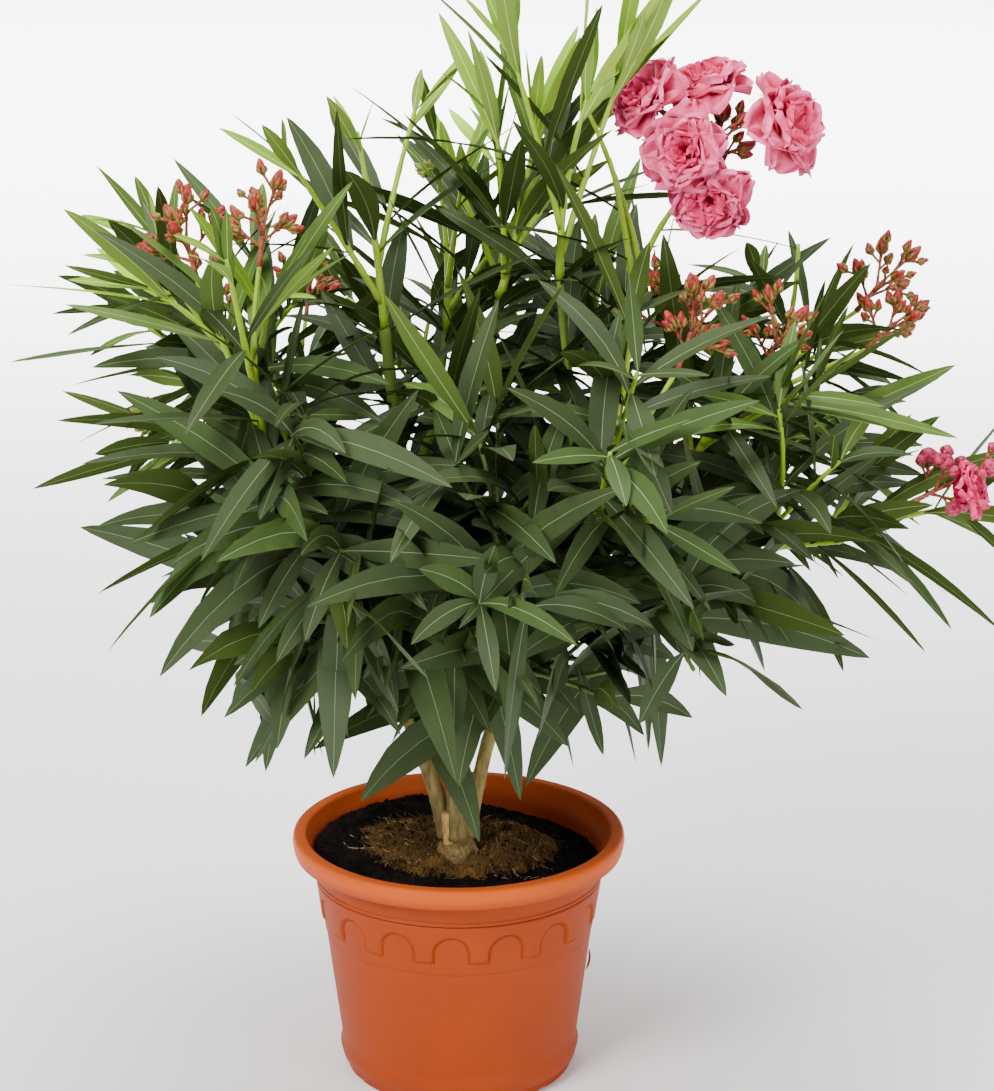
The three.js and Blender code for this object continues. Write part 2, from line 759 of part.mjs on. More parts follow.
// Then leaves fill in round them, the youngest whorls of every shoot first. A
// leaf that would touch something turns a little, and is left out if that fails.
const waiting = grownMasses.flatMap(({ mass, number, node, shoots, pieces }) => (
  shoots.flatMap((shoot) => leavesOf(shoot, mass, number).map((leaf) => ({ leaf, node, pieces })))
));
waiting.sort((a, b) => a.leaf.rank - b.leaf.rank);

for (const { leaf, node, pieces } of waiting) {
  for (const turnBy of leafTurns) {
    const whole = leafSolid(leaf, turnBy, clearance * 2, 0);
    const blade = leafSolid(leaf, turnBy, 0, bladeStart);
    const free = !touches(whole, (other) => other.owner !== node);
    if (free && !touches(blade, (other) => other.owner === node)) {
      const solid = leafSolid(leaf, turnBy, 0, 0);
      pieces.push(solid);
      stand(solid, node);
      break;
    }
  }
}

for (const { mass, node, pieces } of grownMasses) {
  addPart(node, wholeBody(wasm.Manifold.union(pieces)), mass.bloom ? shootGreen : leafGreen);
}

export default oleander;
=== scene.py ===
import json
import math
from collections import namedtuple

import bpy
import numpy as np
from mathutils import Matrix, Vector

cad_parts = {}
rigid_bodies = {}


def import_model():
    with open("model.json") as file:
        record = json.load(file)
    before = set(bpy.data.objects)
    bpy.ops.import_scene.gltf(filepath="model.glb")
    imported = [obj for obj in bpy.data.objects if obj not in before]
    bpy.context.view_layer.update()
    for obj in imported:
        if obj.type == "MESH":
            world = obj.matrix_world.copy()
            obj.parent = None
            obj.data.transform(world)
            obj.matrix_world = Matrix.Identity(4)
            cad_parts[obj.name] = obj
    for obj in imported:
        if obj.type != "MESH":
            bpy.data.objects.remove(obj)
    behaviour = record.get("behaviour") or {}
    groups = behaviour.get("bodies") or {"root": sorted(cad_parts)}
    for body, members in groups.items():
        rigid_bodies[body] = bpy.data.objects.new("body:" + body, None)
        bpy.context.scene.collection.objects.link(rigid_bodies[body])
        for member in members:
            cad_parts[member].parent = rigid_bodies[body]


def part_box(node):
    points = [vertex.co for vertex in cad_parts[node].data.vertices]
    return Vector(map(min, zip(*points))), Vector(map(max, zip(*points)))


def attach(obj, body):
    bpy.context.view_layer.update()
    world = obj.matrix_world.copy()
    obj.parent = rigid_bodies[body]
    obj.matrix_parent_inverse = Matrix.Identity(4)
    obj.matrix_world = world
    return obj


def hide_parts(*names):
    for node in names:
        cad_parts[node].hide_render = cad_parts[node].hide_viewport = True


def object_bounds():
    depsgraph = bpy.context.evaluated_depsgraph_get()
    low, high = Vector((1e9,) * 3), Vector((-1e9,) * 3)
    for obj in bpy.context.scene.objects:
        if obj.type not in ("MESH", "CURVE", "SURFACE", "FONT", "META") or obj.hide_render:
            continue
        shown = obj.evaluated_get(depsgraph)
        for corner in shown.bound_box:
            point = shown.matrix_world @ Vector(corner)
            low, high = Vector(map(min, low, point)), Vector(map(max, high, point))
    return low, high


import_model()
cad_low, cad_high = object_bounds()

# ---- Pot ----
# A round flower pot of terracotta-coloured polypropylene, injection moulded in
# one piece: heavy rolled rim, and an arcade and three fine lines in its wall.

MM = 0.001
pot_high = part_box("pot")[1] / MM
pot_height = pot_high.z
rim_radius = pot_high.x
rim_depth = 16.0
rim_roll = 3.4
wall_top_radius = 115.0
wall_foot_radius = 93.5
wall_thickness = 2.6
foot_radius = 89.5
foot_height = 10.0
foot_rounding = 2
shoulder_height = 24.0
floor_thickness = 3.0
floor_middle = 30
relief_fade = (1, 12)
pot_columns = 720

arches = 16
arch_half_width = 13.9
arch_foot = 126.8
arch_spring = 134.7
first_arch = -92.3
arcade_sink = 1.6
arcade_groove = 1.6
line_heights = (162.3, 158.4)
line_half_width = 1.0
line_depth = 1.4
lower_step_height = 116.2
lower_step_sink = 0.5
lower_groove = 0.7
notches = 10
first_notch = -150.0
notch_half_width = 4.5
notch_height = 4.0


def linear(colour):
    """An sRGB hex colour turned to linear light, with full alpha."""
    channels = [int(colour[i:i + 2], 16) / 255 for i in (1, 3, 5)]
    return [c / 12.92 if c <= 0.04045 else ((c + 0.055) / 1.055) ** 2.4 for c in channels] + [1.0]


def add_node(tree, kind, sockets=None, **settings):
    """Adds a node with its settings, and gives each named input a value or a link."""
    node = tree.nodes.new(kind)
    for setting, value in settings.items():
        setattr(node, setting, value)
    for socket, value in (sockets or {}).items():
        if isinstance(value, bpy.types.NodeSocket):
            tree.links.new(value, node.inputs[socket])
        else:
            node.inputs[socket].default_value = value
    return node


def new_material(name):
    """An empty node material and its tree."""
    material = bpy.data.materials.new(name)
    material.use_nodes = True
    material.node_tree.nodes.clear()
    return material, material.node_tree


def make_piece(name, points, faces, materials, slot, nodes, which=None, crease=None, uv=None):
    """A finished piece from points in millimetres and arrays of triangles and quads.
    which gives each face its material, crease is the angle past which an edge stays
    sharp, uv holds one place per point, and nodes are the CAD nodes it stands for."""
    corners = np.concatenate([f.ravel() for f in faces]).astype(np.int32)
    sizes = np.concatenate([np.full(len(f), f.shape[1]) for f in faces])
    starts = np.concatenate([[0], np.cumsum(sizes)[:-1]]).astype(np.int32)
    mesh = bpy.data.meshes.new(name)
    mesh.vertices.add(len(points))
    mesh.vertices.foreach_set("co", (points * MM).astype(np.float32).ravel())
    mesh.loops.add(len(corners))
    mesh.loops.foreach_set("vertex_index", corners)
    mesh.polygons.add(len(sizes))
    mesh.polygons.foreach_set("loop_start", starts)
    for material in materials:
        mesh.materials.append(material)
    if which is not None:
        mesh.polygons.foreach_set("material_index", which.astype(np.int32))
    if uv is not None:
        mesh.uv_layers.new(name="surface")
        mesh.uv_layers[0].data.foreach_set("uv", uv[corners].astype(np.float32).ravel())
    mesh.polygons.foreach_set("use_smooth", np.ones(len(sizes), bool))
    mesh.update(calc_edges=True)
    if crease is not None:
        mesh.set_sharp_from_angle(angle=math.radians(crease))
    piece = bpy.data.objects.new(name, mesh)
    bpy.context.scene.collection.objects.link(piece)
    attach(piece, "root")
    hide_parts(*nodes)
    return piece


def skin(rings, first, last):
    """Points, quads and triangles of many closed bodies. rings holds, for each body,
    a stack of rings of equal count, anticlockwise seen from the last one: ring r joins
    ring r + 1 in quads, and the first and last points join the end rings in fans."""
    bodies, count, sides = rings.shape[:3]
    points = np.concatenate([first[:, None], rings.reshape(bodies, -1, 3), last[:, None]], axis=1)
    offset = (np.arange(bodies) * (count * sides + 2))[:, None, None]
    here = np.arange(sides)
    beside = (here + 1) % sides
    row = 1 + sides * np.arange(count - 1)[:, None]
    quads = np.stack([row + here, row + beside, row + sides + beside, row + sides + here], -1)
    top = 1 + sides * (count - 1)
    foot = np.stack([here * 0, 1 + beside, 1 + here], -1)
    head = np.stack([here * 0 + top + sides, top + here, top + beside], -1)
    quads = (quads.reshape(1, -1, 4) + offset).reshape(-1, 4)
    fans = (np.concatenate([foot, head])[None] + offset).reshape(-1, 3)
    return points.reshape(-1, 3), [quads, fans]


def mix(a, b, t):
    """The value a share t of the way from a to b."""
    return a + (b - a) * t


def smooth(low, high, value):
    """0 below low and 1 above high, with a smooth S-shaped rise between."""
    t = np.clip((value - low) / (high - low), 0, 1)
    return t * t * (3 - 2 * t)


def wall_radius(height):
    """The flared wall: a straight cone from the foot to under the rim."""
    share = (height - foot_height) / (pot_height - rim_depth - foot_height)
    return mix(wall_foot_radius, wall_top_radius, share)


def bend(centre_radius, centre_height, reach, rise, start, end, count):
    """Points on an ellipse arc, from one angle to another in degrees."""
    angle = np.radians(np.linspace(start, end, count))
    return np.stack([centre_radius + reach * np.cos(angle), centre_height + rise * np.sin(angle)], 1)


def wall_relief(bearing, height):
    """How far the wall is sunk. Below the arcade's line the wall steps in, with a groove
    exp(-d * d) along the step: the line is the foot line, lifted over each arch by the
    distance to its sides or its round top. Two V grooves run above it, and a shallow
    grooved step below."""
    pitch = 2 * math.pi / arches
    turn = (bearing - math.radians(first_arch) + pitch / 2) % pitch - pitch / 2
    across = wall_radius(height) * turn
    above_spring = np.maximum(height - arch_spring, 0)
    inside_arch = arch_half_width - np.hypot(across, above_spring)
    inside = np.maximum(arch_foot - height, inside_arch)
    sink = arcade_sink * smooth(-0.8, 0.8, inside) + arcade_groove * np.exp(-(inside / 1.0) ** 2)
    below = lower_step_height - height
    sink = sink + lower_step_sink * smooth(-0.7, 0.7, below) + lower_groove * np.exp(-(below / 0.9) ** 2)
    for line in line_heights:
        sink = sink + line_depth * np.clip(1 - abs(height - line) / line_half_width, 0, 1)
    return sink


rim_bottom = pot_height - rim_depth
inner_wall = rim_bottom - 4
# Rows up the wall, as from, to and how many: close together where the relief lies.
row_bands = [(shoulder_height, 112, 22), (112, 122, 12), (122, 152, 38), (152, 156, 3), (156, 165, 18)]
wall_rows = np.concatenate(
    [np.linspace(start, end, count, endpoint=False) for start, end, count in row_bands]
    + [np.linspace(165, rim_bottom - 1.5, 4)])

# The profile as radius and height: up the outside to the rim, and down the inside.
foot_profile = np.concatenate([
    [[floor_middle, 0], [foot_radius - 3, 0]],
    bend(foot_radius - foot_rounding, foot_rounding, foot_rounding, foot_rounding, -60, 0, 3),
    bend(foot_radius, shoulder_height, wall_radius(shoulder_height) - foot_radius,
         shoulder_height - 6, -90, -20, 3),
])
rim_profile = np.concatenate([
    bend(wall_top_radius + 1.5, rim_bottom - 1.5, -1.5, 1.5, 0, 90, 3)[1:],
    bend(rim_radius - 3.5, rim_bottom + 2, 2, 2, -90, -10, 4),
    [[rim_radius - 0.5, rim_bottom + 6], [rim_radius, rim_bottom + 9]],
    bend(rim_radius - rim_roll - 0.4, pot_height - rim_roll, rim_roll, rim_roll, 10, 90, 6),
    [[rim_radius - 7, pot_height + 0.0]],
    bend(rim_radius - 8.6, pot_height - 2.6, 2.6, 2.6, 90, 178, 6),
    [[rim_radius - 12.1, pot_height - 9], [rim_radius - 12.8, pot_height - 11]],
])
inside_profile = np.concatenate([
    bend(wall_radius(inner_wall) - wall_thickness + 4, inner_wall, -4, 5, 60, 0, 3),
    [[foot_radius - wall_thickness, foot_height]],
    [[foot_radius - wall_thickness - 4, floor_thickness], [floor_middle, floor_thickness]],
])
pot_profile = np.concatenate([
    foot_profile, np.stack([wall_radius(wall_rows), wall_rows], 1), rim_profile, inside_profile])
bearing = np.linspace(-math.pi, math.pi, pot_columns, endpoint=False)[None]
radius = np.repeat(pot_profile[:, :1], pot_columns, axis=1)
height = np.repeat(pot_profile[:, 1:], pot_columns, axis=1)
wall = slice(len(foot_profile), len(foot_profile) + len(wall_rows))
radius[wall] -= wall_relief(bearing, height[wall]) * smooth(*relief_fade, rim_bottom - height[wall])
notch_pitch = 2 * math.pi / notches
notch_turn = (bearing - math.radians(first_notch) + notch_pitch / 2) % notch_pitch - notch_pitch / 2
in_notch = smooth(-0.8, 0.4, notch_half_width - abs(notch_turn) * foot_radius)
height[1:4] += notch_height * in_notch
pot_rings = np.stack([radius * np.cos(bearing), radius * np.sin(bearing), height], -1)
pot_points, pot_faces = skin(pot_rings[None], np.zeros((1, 3)), np.array([[0, 0, floor_thickness]]))


def moulded_polypropylene(name):
    """Terracotta-coloured polypropylene from a spark-eroded mould: a soft satin skin,
    a fine grain 0.5 mm across, faint paler clouds where the pigment is uneven, and a
    painted highlight that makes the rim paler."""
    material, tree = new_material(name)
    place = add_node(tree, "ShaderNodeTexCoord")
    clouds = add_node(tree, "ShaderNodeTexNoise", {
        "Vector": place.outputs["Object"], "Scale": 1 / (45 * MM), "Detail": 3})
    grain = add_node(tree, "ShaderNodeTexNoise", {
        "Vector": place.outputs["Object"], "Scale": 1 / (0.5 * MM), "Detail": 2})
    colour = add_node(tree, "ShaderNodeMix", {
        0: clouds.outputs["Fac"], 6: linear("#8e3000"), 7: linear("#9c3a00")}, data_type="RGBA")
    axes = add_node(tree, "ShaderNodeSeparateXYZ", {"Vector": place.outputs["Object"]})
    # Painted highlight: the top of the pot, over its rim, is mixed towards a paler colour.
    on_rim = add_node(tree, "ShaderNodeMapRange", {
        "Value": axes.outputs["Z"], "From Min": (pot_height - 17) * MM, "From Max": (pot_height - 8) * MM})
    painted_rim_highlight = add_node(tree, "ShaderNodeMix", {
        0: on_rim.outputs["Result"], 6: colour.outputs[2], 7: linear("#be4e06")}, data_type="RGBA")
    roughness = add_node(tree, "ShaderNodeMapRange", {
        "Value": clouds.outputs["Fac"], "To Min": 0.5, "To Max": 0.62})
    relief = add_node(tree, "ShaderNodeBump", {
        "Height": grain.outputs["Fac"], "Strength": 0.25, "Distance": 0.1 * MM})
    shader = add_node(tree, "ShaderNodeBsdfPrincipled", {
        "Base Color": painted_rim_highlight.outputs[2], "Roughness": roughness.outputs["Result"],
        "IOR": 1.49, "Specular IOR Level": 0.22, "Normal": relief.outputs["Normal"]})
    add_node(tree, "ShaderNodeOutputMaterial", {"Surface": shader.outputs["BSDF"]})
    return material


terracotta = moulded_polypropylene("moulded_polypropylene")
make_piece("flower_pot", pot_points, pot_faces, [terracotta], "terracotta_plastic", ["pot"], crease=50)

# A slim crescent of flash stands off the wall where the mould's halves met: an ellipse
# carried up a bowed line, and swelling and closing like a lens from end to end.
flash_bearing = math.radians(4)
flash_height = 80
flash_half_length = 9
flash_bow = 1.6
flash_half_thickness = 0.9
flash_half_width = 2.2
flash_rise = np.linspace(-flash_half_length, flash_half_length, 9)
flash_share = (flash_rise / flash_half_length) ** 2
flash_centre = np.stack([
    wall_radius(flash_height + flash_rise) + flash_bow * (1 - flash_share),
    0 * flash_rise, flash_height + flash_rise], 1)
flash_around = np.linspace(0, 2 * math.pi, 8, endpoint=False)
flash_swell = np.sqrt(1.05 - flash_share)[:, None]
flash_rings = flash_centre[:, None] + np.stack([
    flash_half_thickness * flash_swell * np.cos(flash_around),
    flash_half_width * flash_swell * np.sin(flash_around),
    0 * flash_swell * flash_around], -1)
flash_rings = flash_rings @ np.array([
    [math.cos(flash_bearing), -math.sin(flash_bearing), 0],
    [math.sin(flash_bearing), math.cos(flash_bearing), 0],
    [0, 0, 1]]).T
flash_points, flash_faces = skin(flash_rings[None], flash_rings[:1].mean(1), flash_rings[-1:].mean(1))
make_piece("mould_flash", flash_points, flash_faces, [terracotta], "terracotta_plastic", [])

# ---- Potting soil ----
# Black peat that fills the pot round the root ball to a finger's width under the
# rim: a crumbly bed, with loose crumbs lying on it.

soil_level = 170.5
soil_radius = wall_radius(soil_level) - wall_thickness
ball_centre = np.array([1.0, 14.0])
ball_reach = np.array([77.0, 56.0])
ball_height = 176.4
bed_depth = 12
soil_rings = 96
soil_columns = 260
crumb_count = 2600
heap_height = 14.0
crumbs_on_ball = 0.15


def ripple(x, y, lengths, seed):
    """Uneven relief from about -1 to 1: a sum of sine waves over the plane, one or
    more for each wave length, with seeded headings and starts."""
    rng = np.random.default_rng(seed)
    total = 0
    for length in lengths:
        heading, start = rng.uniform(0, 2 * math.pi, 2)
        total = total + np.sin(2 * math.pi * (x * math.cos(heading) + y * math.sin(heading)) / length + start)
    return total / math.sqrt(len(lengths))


def ball_nearness(x, y):
    """1 at the root ball's middle and 0 at its uneven edge, which is a squarish oval:
    1 - (|x| ** 2.6 + |y| ** 2.6) ** (1 / 2.6), with x and y as shares of its reach."""
    along = (x - ball_centre[0]) / ball_reach[0]
    deep = (y - ball_centre[1]) / ball_reach[1]
    oval = (abs(along) ** 2.6 + abs(deep) ** 2.6) ** (1 / 2.6)
    return 1 - oval + 0.04 * ripple(x, y, (31, 23, 17), 4)


def soil_height(x, y):
    """The bed's height: crumbly, heaped on the left, and falling a little to the wall."""
    fine = ripple(x, y, (3.1, 4.3, 5.9, 2.7, 3.7), 11)
    coarse = ripple(x, y, (19, 27, 13, 41), 12)
    heaped = heap_height * smooth(0.1, 0.95, (-0.9 * x + 0.6 * y) / soil_radius)
    sunk = 2.5 * smooth(0.86, 1.0, np.hypot(x, y) / soil_radius)
    return soil_level + 0.7 * fine + 0.8 * coarse + heaped - sunk


def ball_surface(x, y):
    """The root ball's height: a low lumpy table with a steep matted edge."""
    lumps = ripple(x, y, (9, 14, 22, 31, 43), 21)
    fine = ripple(x, y, (2.3, 3.1, 4.1, 2.7), 22)
    near = ball_nearness(x, y)
    table = mix(soil_level - 6, ball_height, smooth(-0.1, 0.14, near))
    return table + (3.6 * lumps + 1.2 * fine) * smooth(0, 0.2, near)


def disc(height_at, middle, reach, base, rings, columns):
    """A closed bed: polar rings under a height function, shut by a flat base. A ring
    at share t of the reach holds the points middle + reach * t * (cos, sin)."""
    turn = np.linspace(0, 2 * math.pi, columns, endpoint=False)
    share = np.linspace(1, 0.004, rings)[:, None]
    x = middle[0] + reach[0] * share * np.cos(turn)
    y = middle[1] + reach[1] * share * np.sin(turn)
    top = np.stack([x, y, height_at(x, y)], -1)
    rim = np.stack([x[0], y[0], np.full(columns, base)], -1)[None]
    stack = np.concatenate([rim, top])[None]
    centre = np.array([[middle[0], middle[1], base]])
    peak = np.array([[middle[0], middle[1], float(height_at(middle[0], middle[1]))]])
    return skin(stack, centre, peak)


def crumbs(places, sizes, seed):
    """Loose crumbs: each is a lopsided double pyramid of four seeded corners round an
    upright axis, with seeded points above and below."""
    rng = np.random.default_rng(seed)
    turn = rng.uniform(0, 2 * math.pi, (len(places), 1)) + np.arange(4) * math.pi / 2
    reach = sizes[:, None] * rng.uniform(0.5, 1, (len(places), 4))
    lift = sizes[:, None] * rng.uniform(-0.25, 0.25, (len(places), 4))
    ring = places[:, None] + np.stack([reach * np.cos(turn), reach * np.sin(turn), lift], -1)
    lean = rng.uniform(-0.3, 0.3, (len(places), 2)) * sizes[:, None]
    foot = places + np.concatenate([lean, -0.7 * sizes[:, None]], 1)
    peak = places + np.concatenate([-lean, 0.7 * sizes[:, None]], 1)
    return skin(ring[:, None], foot, peak)


def damp_earth(name, dark, light, grain, relief):
    """Damp peat or matted root earth: rough and dull, broken into grains of a given
    size in millimetres, dark where it is damp, in patches about 18 mm across, with
    painted shade in the grains' hollows and painted light on their crests."""
    material, tree = new_material(name)
    place = add_node(tree, "ShaderNodeTexCoord")
    clumps = add_node(tree, "ShaderNodeTexNoise", {
        "Vector": place.outputs["Object"], "Scale": 1 / (grain * MM), "Detail": 6, "Roughness": 0.7})
    damp = add_node(tree, "ShaderNodeTexNoise", {
        "Vector": place.outputs["Object"], "Scale": 1 / (18 * MM), "Detail": 2})
    # Painted shade and light: the grains' relief noise darkens their hollows and lightens their crests, added
    # to the damp patches.
    dryness_and_crest_light = add_node(tree, "ShaderNodeMath", {
        0: damp.outputs["Fac"], 1: 0.9, 2: clumps.outputs["Fac"]}, operation="MULTIPLY_ADD")
    shade = add_node(tree, "ShaderNodeMapRange", {
        "Value": dryness_and_crest_light.outputs[0], "From Min": 0.86, "From Max": 1.2})
    colour = add_node(tree, "ShaderNodeMix", {
        0: shade.outputs["Result"], 6: linear(dark), 7: linear(light)}, data_type="RGBA")
    bumps = add_node(tree, "ShaderNodeBump", {
        "Height": clumps.outputs["Fac"], "Strength": 0.9, "Distance": relief * MM})
    shader = add_node(tree, "ShaderNodeBsdfPrincipled", {
        "Base Color": colour.outputs[2], "Roughness": 0.93, "IOR": 1.4, "Specular IOR Level": 0.2,
        "Normal": bumps.outputs["Normal"]})
    add_node(tree, "ShaderNodeOutputMaterial", {"Surface": shader.outputs["BSDF"]})
    return material


peat = damp_earth("damp_peat", "#060403", "#1e160f", 3.0, 1.2)
bed_reach = np.array([soil_radius + 0.4, soil_radius + 0.4])
bed_points, bed_faces = disc(
    soil_height, np.zeros(2), bed_reach, soil_level - bed_depth, soil_rings, soil_columns)
make_piece("potting_soil", bed_points, bed_faces, [peat], "potting_soil", ["soil"])

crumb_rng = np.random.default_rng(31)
crumb_turn = crumb_rng.uniform(0, 2 * math.pi, crumb_count)
crumb_reach = (soil_radius - 3) * np.sqrt(crumb_rng.uniform(0.05, 1, crumb_count))
crumb_x, crumb_y = crumb_reach * np.cos(crumb_turn), crumb_reach * np.sin(crumb_turn)
crumb_base = np.maximum(soil_height(crumb_x, crumb_y), ball_surface(crumb_x, crumb_y))
crumb_size = crumb_rng.uniform(0.8, 1.8, crumb_count) + 3.0 * crumb_rng.uniform(0, 1, crumb_count) ** 6
off_ball = ball_nearness(crumb_x, crumb_y) < 0.06
lying = off_ball | (crumb_rng.uniform(0, 1, crumb_count) < crumbs_on_ball)
crumb_places = np.stack([crumb_x, crumb_y, crumb_base], 1)
crumb_points, crumb_faces = crumbs(crumb_places[lying], crumb_size[lying], 32)
make_piece("peat_crumbs", crumb_points, crumb_faces, [peat], "potting_soil", ["soil"], crease=20)

# ---- Root ball ----
# The nursery root ball stands a little proud of the peat: brown earth matted with
# fibres, and fine pale roots that wander over its top.

fibre_count = 3000
fibre_length = (5.0, 15.0)
fibre_radius = 0.42
pale_root_count = 110
pale_root_length = (12.0, 32.0)
pale_root_radius = 0.5
root_stations = 7
ball_depth = 8
ball_rings = 80
ball_columns = 260


def rings_along(centres, headings, radius, sides):
    """Rings square to a path: centre + radius * (cos a * along + sin a * across),
    where along and across stand square to the heading. One path for each body."""
    chord = centres[:, -1] - centres[:, 0]
    square = np.cross(chord, [0.31, -0.95, 0.07])
    across = np.cross(headings, square[:, None])
    across /= np.linalg.norm(across, axis=-1, keepdims=True)
    along = np.cross(across, headings)
    angle = np.linspace(0, 2 * math.pi, sides, endpoint=False)[:, None]
    radius = radius[..., None, None] if radius.ndim == 2 else radius[..., None]
    round_axis = np.cos(angle) * along[:, :, None] + np.sin(angle) * across[:, :, None]
    return centres[:, :, None] + radius * round_axis


def headings_of(centres):
    """Unit headings along each path of points, from the points on either side."""
    step = np.gradient(centres, axis=1)
    return step / np.linalg.norm(step, axis=-1, keepdims=True)


def lying_roots(count, length, thickness, seed):
    """Fine roots that lie on the ball: each wanders over the plane, its heading turning
    by a seeded amount at every step, and its height follows the ball's surface."""
    rng = np.random.default_rng(seed)
    turn = rng.uniform(0, 2 * math.pi, (count, 1)) + np.cumsum(rng.normal(0, 0.42, (count, root_stations)), 1)
    step = rng.uniform(*length, (count, 1)) / (root_stations - 1)
    bearing = rng.uniform(0, 2 * math.pi, (count, 1))
    share = np.sqrt(rng.uniform(0, 0.86, (count, 1)))
    x = ball_centre[0] + ball_reach[0] * share * np.cos(bearing) + np.cumsum(step * np.cos(turn), 1)
    y = ball_centre[1] + ball_reach[1] * share * np.sin(bearing) + np.cumsum(step * np.sin(turn), 1)
    z = np.maximum(ball_surface(x, y), soil_height(x, y)) + rng.uniform(-0.2, 1.0, (count, root_stations))
    centres = np.stack([x, y, z], -1)
    radius = thickness * rng.uniform(0.6, 1.2, (count, 1)) * np.linspace(1, 0.5, root_stations)
    return skin(rings_along(centres, headings_of(centres), radius, 3), centres[:, 0], centres[:, -1])


def root_fibre(name, colour, dull):
    """Dry root bark: a fine dull thread, uneven in tone every 6 mm or so of its run."""
    material, tree = new_material(name)
    place = add_node(tree, "ShaderNodeTexCoord")
    tone = add_node(tree, "ShaderNodeTexNoise", {"Vector": place.outputs["Object"], "Scale": 1 / (6 * MM)})
    shade = add_node(tree, "ShaderNodeMix", {
        0: tone.outputs["Fac"], 6: linear(dull), 7: linear(colour)}, data_type="RGBA")
    shader = add_node(tree, "ShaderNodeBsdfPrincipled", {
        "Base Color": shade.outputs[2], "Roughness": 0.85, "IOR": 1.4})
    add_node(tree, "ShaderNodeOutputMaterial", {"Surface": shader.outputs["BSDF"]})
    return material


ball_earth = damp_earth("matted_root_earth", "#1e1209", "#86622f", 2.2, 1.8)
ball_points, ball_faces = disc(
    ball_surface, ball_centre, ball_reach * 1.12, soil_level - ball_depth, ball_rings, ball_columns)
make_piece("root_ball", ball_points, ball_faces, [ball_earth], "potting_soil", ["soil"])
fibre_points, fibre_faces = lying_roots(fibre_count, fibre_length, fibre_radius, 41)
brown_bark = root_fibre("brown_root_fibre", "#80602f", "#3e2812")
make_piece("root_fibres", fibre_points, fibre_faces, [brown_bark], "potting_soil", ["soil"])
pale_points, pale_faces = lying_roots(pale_root_count, pale_root_length, pale_root_radius, 42)
pale_bark = root_fibre("pale_root_fibre", "#c4a67a", "#94714a")
make_piece("pale_roots", pale_points, pale_faces, [pale_bark], "potting_soil", ["soil"])

# ---- Stump ----
# The short lobed foot from which all stems rise: tan cork, split into fibres,
# flaring to the root ball, its top domed between the stems.

stump_low, stump_high = (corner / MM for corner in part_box("trunk"))
stump_place = np.array([-3.0, -6.0])
stump_lean = 3.0
stump_radius = 12.5
stump_flare = 5.0
stump_lobe = 0.16
stump_seat = 0.12
stump_rows = 44
stump_columns = 96
green_wood_heights = (250.0, 480.0)


def old_bark(name, dark, mid, light, fibre, relief):
    """Corky bark: pale crests over dark fissures that run along the wood, fibre
    millimetres apart and several times as long as wide, turning to smooth green wood
    up the plant."""
    material, tree = new_material(name)
    place = add_node(tree, "ShaderNodeTexCoord")
    stretch = add_node(tree, "ShaderNodeMapping", {"Vector": place.outputs["Object"], "Scale": (1, 1, 0.22)})
    fibres = add_node(tree, "ShaderNodeTexNoise", {
        "Vector": stretch.outputs["Vector"], "Scale": 1 / (fibre * MM), "Detail": 5, "Roughness": 0.62})
    patches = add_node(tree, "ShaderNodeTexNoise", {
        "Vector": place.outputs["Object"], "Scale": 1 / (14 * MM)})
    crest = add_node(tree, "ShaderNodeMapRange", {
        "Value": fibres.outputs["Fac"], "From Min": 0.32, "From Max": 0.7})
    worn = add_node(tree, "ShaderNodeMix", {
        0: patches.outputs["Fac"], 6: linear(mid), 7: linear(light)}, data_type="RGBA")
    colour = add_node(tree, "ShaderNodeMix", {
        0: crest.outputs["Result"], 6: linear(dark), 7: worn.outputs[2]}, data_type="RGBA")
    axes = add_node(tree, "ShaderNodeSeparateXYZ", {"Vector": place.outputs["Object"]})
    youth = add_node(tree, "ShaderNodeMapRange", {
        "Value": axes.outputs["Z"],
        "From Min": green_wood_heights[0] * MM, "From Max": green_wood_heights[1] * MM})
    aged = add_node(tree, "ShaderNodeMix", {
        0: youth.outputs["Result"], 6: colour.outputs[2], 7: linear("#66802a")}, data_type="RGBA")
    bumps = add_node(tree, "ShaderNodeBump", {
        "Height": fibres.outputs["Fac"], "Strength": 0.8, "Distance": relief * MM})
    shader = add_node(tree, "ShaderNodeBsdfPrincipled", {
        "Base Color": aged.outputs[2], "Roughness": 0.8, "IOR": 1.42, "Normal": bumps.outputs["Normal"]})
    add_node(tree, "ShaderNodeOutputMaterial", {"Surface": shader.outputs["BSDF"]})
    return material


# Radius = (foot radius + flare) * (three lobes) * dome, roughened by upright fibres,
# from a little under the root ball's top to the fork.
rise = np.linspace(-stump_seat, 1, stump_rows)[:, None]
around = np.linspace(0, 2 * math.pi, stump_columns, endpoint=False)[None]
flare = stump_flare * np.clip(1 - rise, 0, 1.2) ** 2.4
lobes = 1 + stump_lobe * (0.35 + 0.65 * rise) * np.cos(3 * around + 0.6)
dome = np.sqrt(np.clip(1.02 - np.clip(rise, 0, 1) ** 2.4, 0.02, 1))
fibrous = (0.5 * np.sin(17 * around + 3 * rise) + 0.35 * np.sin(29 * around - 5 * rise)
           + 0.4 * np.sin(7 * around + 9 * rise))
corky = ripple(around * 12, rise * 24, (4, 6, 9), 51)
stump_reach = (stump_radius + flare) * lobes * dome + fibrous * 0.7 + corky * 0.5
stump_rings = np.stack([
    stump_place[0] + stump_lean * rise + stump_reach * np.cos(around),
    stump_place[1] + stump_reach * np.sin(around),
    mix(stump_low.z, stump_high.z, rise) + 0 * around], -1)
stump_points, stump_faces = skin(stump_rings[None], stump_rings[:1].mean(1), stump_rings[-1:].mean(1))
stump_bark = old_bark("corky_stump_bark", "#4a3a1c", "#92743c", "#b4985e", 2.0, 1.0)
make_piece("stump", stump_points, stump_faces, [stump_bark], "stump_bark", ["trunk"])

# ---- Stems and boughs ----
# Four stems rise from the stump and boughs fork from them: smooth young oleander
# wood, olive-brown below and greener above, ringed where old leaves dropped.

